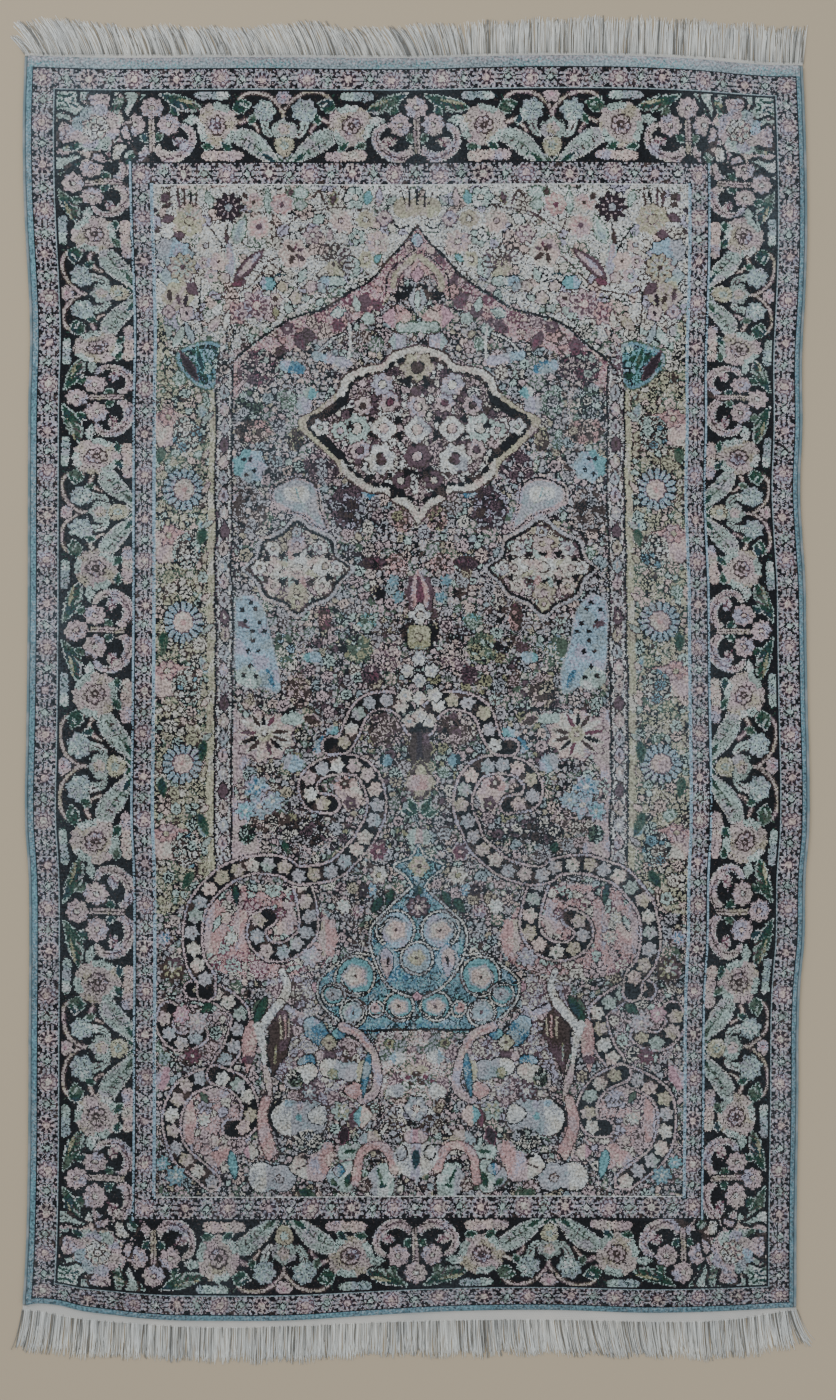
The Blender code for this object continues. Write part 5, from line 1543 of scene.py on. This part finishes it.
def strandPlaces(end):
    # Roots, middles, tips and widths of an end's strands in millimetres, as in the solids
    rim = side[end["side"]] / mm
    left, right = rim[0, 0] - weave["cord"], rim[-1, 0] + weave["cord"]
    pitch = (right - left) / end["strands"]
    index = np.arange(end["strands"])
    root = left + pitch * (index + 0.5) + end["spacing"] * np.sin(2.4 * index)
    for place, width in end["partings"]:
        away = root - place
        root = root + np.sign(away) * np.exp(-np.abs(away) / strandFacts["partingReach"]) * width
    tip = np.stack([root + endCurve(end, "lean", root) + end["spacing"] * np.sin(1.7 * index),
                    endCurve(end, "tips", root) + end["cut"] * np.sin(5.1 * index)], axis=-1)
    widths = np.tile([end["root"] * pitch, end["middle"] * pitch, end["tip"] * pitch], (end["strands"], 1))
    for strand, x, y, width in end["apart"]:
        tip[strand], widths[strand, 2] = (x, y), width
    root = np.stack([root, endCurve(end, "strip", root)], axis=-1)
    middle = np.stack([0.55 * root[:, 0] + 0.45 * tip[:, 0], 0.45 * root[:, 1] + 0.55 * tip[:, 1]], axis=-1)
    return root, middle, tip, widths, (left, right)


def cottonYarn(name, colours, relief):
    # Undyed cotton: a tone for each yarn, which also carries painted shadow, shade and highlight, grey dust
    # in patches, and the fine ply as a bump
    made, wire, shader, place = newCloth(name, 0.9, 0.1)
    own = wire.node("ShaderNodeAttribute", {"attribute_name": "yarnToneAndShade"}, output=2)
    dust = noise(wire, place, 0.05, 3.0).span(0.35, 0.7) * 0.6 + own * 0.4
    colour = dust.between(*[seenColour(*colour) for colour in colours]).tinted(0.3 + 0.95 * own)
    finishCloth(wire, shader, colour, noise(wire, place, 0.0008, 2.0), relief)
    return made


def makeFringe(end, finish):
    # Every strand is a bundle of thin yarns: each follows the curve through the strand's root, middle and tip
    # at its own share of the width, with a slow wave, and stops a little short of or past the strand's tip
    luck, facts = np.random.RandomState(end["seed"]), strandFacts
    root, middle, tip, widths, _ = strandPlaces(end)
    count, steps, around = end["yarns"], facts["steps"], facts["around"]
    t = np.linspace(0, 1, steps)[None, None, :]
    share = (np.linspace(-0.5, 0.5, count)[None] + luck.normal(0, 0.05, (len(root), count)))[..., None]
    bend = 2 * middle - (root + tip) / 2
    start = root - (0, end["outward"] * 1.6)
    line = [(1 - t) ** 2 * start[:, None, None, k] + 2 * t * (1 - t) * bend[:, None, None, k]
            + t * t * tip[:, None, None, k] for k in (0, 1)]
    wide = [widths[:, None, None, k] * end["spread"][k] for k in range(3)]
    width = (1 - t) ** 2 * wide[0] + 2 * t * (1 - t) * wide[1] + t * t * wide[2]
    phase = luck.uniform(0, 6.28, (2, len(root), count, 1))
    swing = luck.normal(0, facts["swing"], (2, len(root), count, 1))
    stray = luck.normal(0, 1, (len(root), count, 1))
    x = line[0] + width * share + swing[0] * np.sin(5 * t
                                                    + phase[0]) * t + stray * end["ravel"] * 0.35 * t ** 2
    reach = 1 + luck.uniform(*facts["reach"], (len(root), count, 1))
    y = start[:, None, None, 1] + (line[1] - start[:, None, None, 1]) * reach
    crossing = 0.5 + 0.5 * np.sin(2.2 * np.arange(count)[None, :, None] * 2.4 + phase[1] + 2.5 * t)
    thick = end["thin"]
    z = thick / mm + facts["lift"] * crossing * (1 - 0.35 * t)
    paths = np.stack(np.broadcast_arrays(x, y, z), axis=-1).reshape(-1, steps, 3) * mm
    paths[:, :, 2] = np.maximum(paths[:, :, 2], thick)
    radii = np.full((len(paths), steps, around), thick) * (1 - 0.25 * np.linspace(0, 1, steps) ** 6)[None, :,
            None]
    piece = tubeMesh(end["node"] + "_yarns", tubesAlong(paths, radii, around), finish)
    edge = np.abs(share) * 2
    bunch = np.repeat(luck.uniform(0, 1, (len(root), count // 2 + 1, 1)), 2, axis=1)[:, :count]
    # Painted shadow on the pairs of yarns counted by darkShare, a random tone on the rest
    tones = np.where(bunch < facts["darkShare"], 0.0, 0.42 + 0.6 * bunch)
    tones = tones + luck.uniform(-0.1, 0.1, (len(root), count, 1))
    # Painted shade: the yarns at a strand's edges darker toward its root, where the gap between strands lies
    # in shade
    tones = tones - end["parting"] * np.clip(edge, 0, 1.1) ** 4 * (1 - t) ** 3
    tones = np.repeat(np.clip(tones, 0, 1).ravel(), around)
    paintMesh(piece, "yarnToneAndShade", "FLOAT", "POINT", tones)
    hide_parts(end["node"])
    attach(piece, "root")
    return piece


def makeFlatWeave(end, finish):
    # The strip between pile and fringe: ridges of weft across, each bobbing over and under the warps, with
    # painted highlight and shade
    rim = side[end["side"]]
    left, right = strandPlaces(end)[-1]
    columns, rows = 1000, end["ridges"] * 4 + 1
    x = np.linspace(left + 0.2, right - 0.2, columns)
    inner = smoothCurve(rim[:, 0] / mm, rim[:, 1] / mm, x) + end["outward"] * 0.1
    outer = endCurve(end, "strip", x)
    t = np.linspace(0, 1, rows)[:, None]
    y = inner + (outer - inner) * t
    weft = np.sin(np.pi * end["ridges"] * t) ** 2
    bob = np.cos(np.pi * (x[None] / 1.05 + np.floor(end["ridges"] * t * 0.999)))
    z = 1.25 + 0.35 * weft + 0.22 * weft * bob
    z = np.where((t == 0) | (t == 1), 0.5, z)
    top = np.stack(np.broadcast_arrays(x[None], y, z), axis=-1)[:, ::end["outward"]] * mm
    foot = top[[0, -1]].copy()
    foot[..., 2] = 0.0
    points = np.concatenate([top, foot[::-1]])
    rowCount = rows + 2
    quads = gridFaces(rowCount, columns)
    index = np.arange(rowCount * columns).reshape(rowCount, columns)
    closing = np.stack([index[-1, :-1], index[-1, 1:], index[0, 1:], index[0, :-1]], axis=-1)
    ends = [index[:, 0], index[::-1, -1]]
    piece = layMesh(end["node"] + "_weave", points.reshape(-1, 3), np.concatenate([quads, closing]), finish,
                    ends)
    # Painted highlight where the weft rides over a warp, painted shade where it dips under, and painted shade
    # at the foot of the strip's walls
    paintMesh(piece, "yarnToneAndShade", "FLOAT", "POINT", np.concatenate([0.66 + 0.3 * weft * bob,
            np.full((2, columns), 0.4)]))
    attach(piece, "root")
    return piece


studio = {
    "lamps": (("window", (-2.2, 2.4, 2.6), 2.4, 60), ("room", (2.4, -1.2, 3.0), 3.0, 25)),
            # place, size, watts
    "air": (0.95, 0.98, 1.0, 1.0), "evenLight": 0.5,
}


def makeStudio():
    # Pale floor, two soft lamps and an even world
    floorMesh = layMesh("floor", np.array([(-4, -4, 0), (4, -4, 0), (4, 4, 0), (-4, 4, 0)], float) - (0, 0,
            0.0002),
                        [(0, 1, 2, 3)], bpy.data.materials.new("floor paper"))
    floorMesh.data.materials[0].use_nodes = True
    shader = floorMesh.data.materials[0].node_tree.nodes["Principled BSDF"]
    shader.inputs["Base Color"].default_value = seenColour(206, 190, 164)
    shader.inputs["Roughness"].default_value = 0.9
    for name, place, size, power in studio["lamps"]:
        lamp = bpy.data.lights.new(name, "AREA")
        lamp.size, lamp.energy = size, power
        made = bpy.data.objects.new(name, lamp)
        made.location = place
        made.rotation_euler = (-Vector(place)).to_track_quat("-Z", "Y").to_euler()
        bpy.context.scene.collection.objects.link(made)
    world = bpy.data.worlds.new("even light")
    world.use_nodes = True
    background = world.node_tree.nodes["Background"]
    background.inputs["Color"].default_value = studio["air"]
    background.inputs["Strength"].default_value = studio["evenLight"]
    bpy.context.scene.world = world


view = {                                    # the photograph's frame, in metres and pixels
    "height": 2.6, "pixel": 1.221 * mm, "frame": (836, 1400), "middle": (417, 685.5), "sensor": 36.0,
}


def placeCamera():
    camera = bpy.data.objects.new("camera", bpy.data.cameras.new("camera"))
    camera.data.sensor_width = view["sensor"]
    camera.data.lens = view["sensor"] * view["height"] / (view["frame"][1] * view["pixel"])
    camera.location = ((view["frame"][0] / 2 - view["middle"][0]) * view["pixel"],
                       (view["middle"][1] - view["frame"][1] / 2) * view["pixel"], view["height"])
    bpy.context.scene.collection.objects.link(camera)
    bpy.context.scene.camera = camera


def drawRug():
    # The whole chart: two halves that mirror each other, each knotted with its own small slips
    half = rugPlan["columns"] // 2
    across, along = rugPlan["halfWidth"] - weave["cord"], rugPlan["halfLength"]
    xs = (np.arange(half) + 0.5) * across / half
    ys = (np.arange(rugPlan["rows"]) + 0.5) * 2 * along / rugPlan["rows"] - along
    halves = []
    for seed in (11, 47):
        knots = np.full((rugPlan["rows"], half), yarnNumber[ash])
        drawField(knots, xs, ys, seed)
        drawBorders(knots, xs, ys, seed)
        halves.append(knots)
    return np.hstack([halves[1][:, ::-1], halves[0]])


def dressRug():
    knots = drawRug()
    stage("chart drawn")
    pile = makePile(knots)
    stage("pile knotted")
    back = makeBack(knots)
    stage("back woven")
    yarn = sideYarn()
    cords = [makeSideCord("side_cord_left_overcast", side["left"], -1, yarn),
             makeSideCord("side_cord_right_overcast", side["right"], 1, yarn)]
    stage("sides overcast")
    cotton = cottonYarn("fringe cotton", ((250, 250, 243), (226, 230, 230)), 0.1 * mm)
    strip = cottonYarn("end weave cotton", ((238, 234, 226), (206, 208, 206)), 0.1 * mm)
    ends = []
    for end in (upperEnd, lowerEnd):
        ends += [makeFlatWeave(end, strip), makeFringe(end, cotton)]
    stage("ends woven and fringed")
    size = [side["right"][:, 1].mean() - side["left"][:, 1].mean(), 1.53]


placeCamera()
makeStudio()
dressRug()
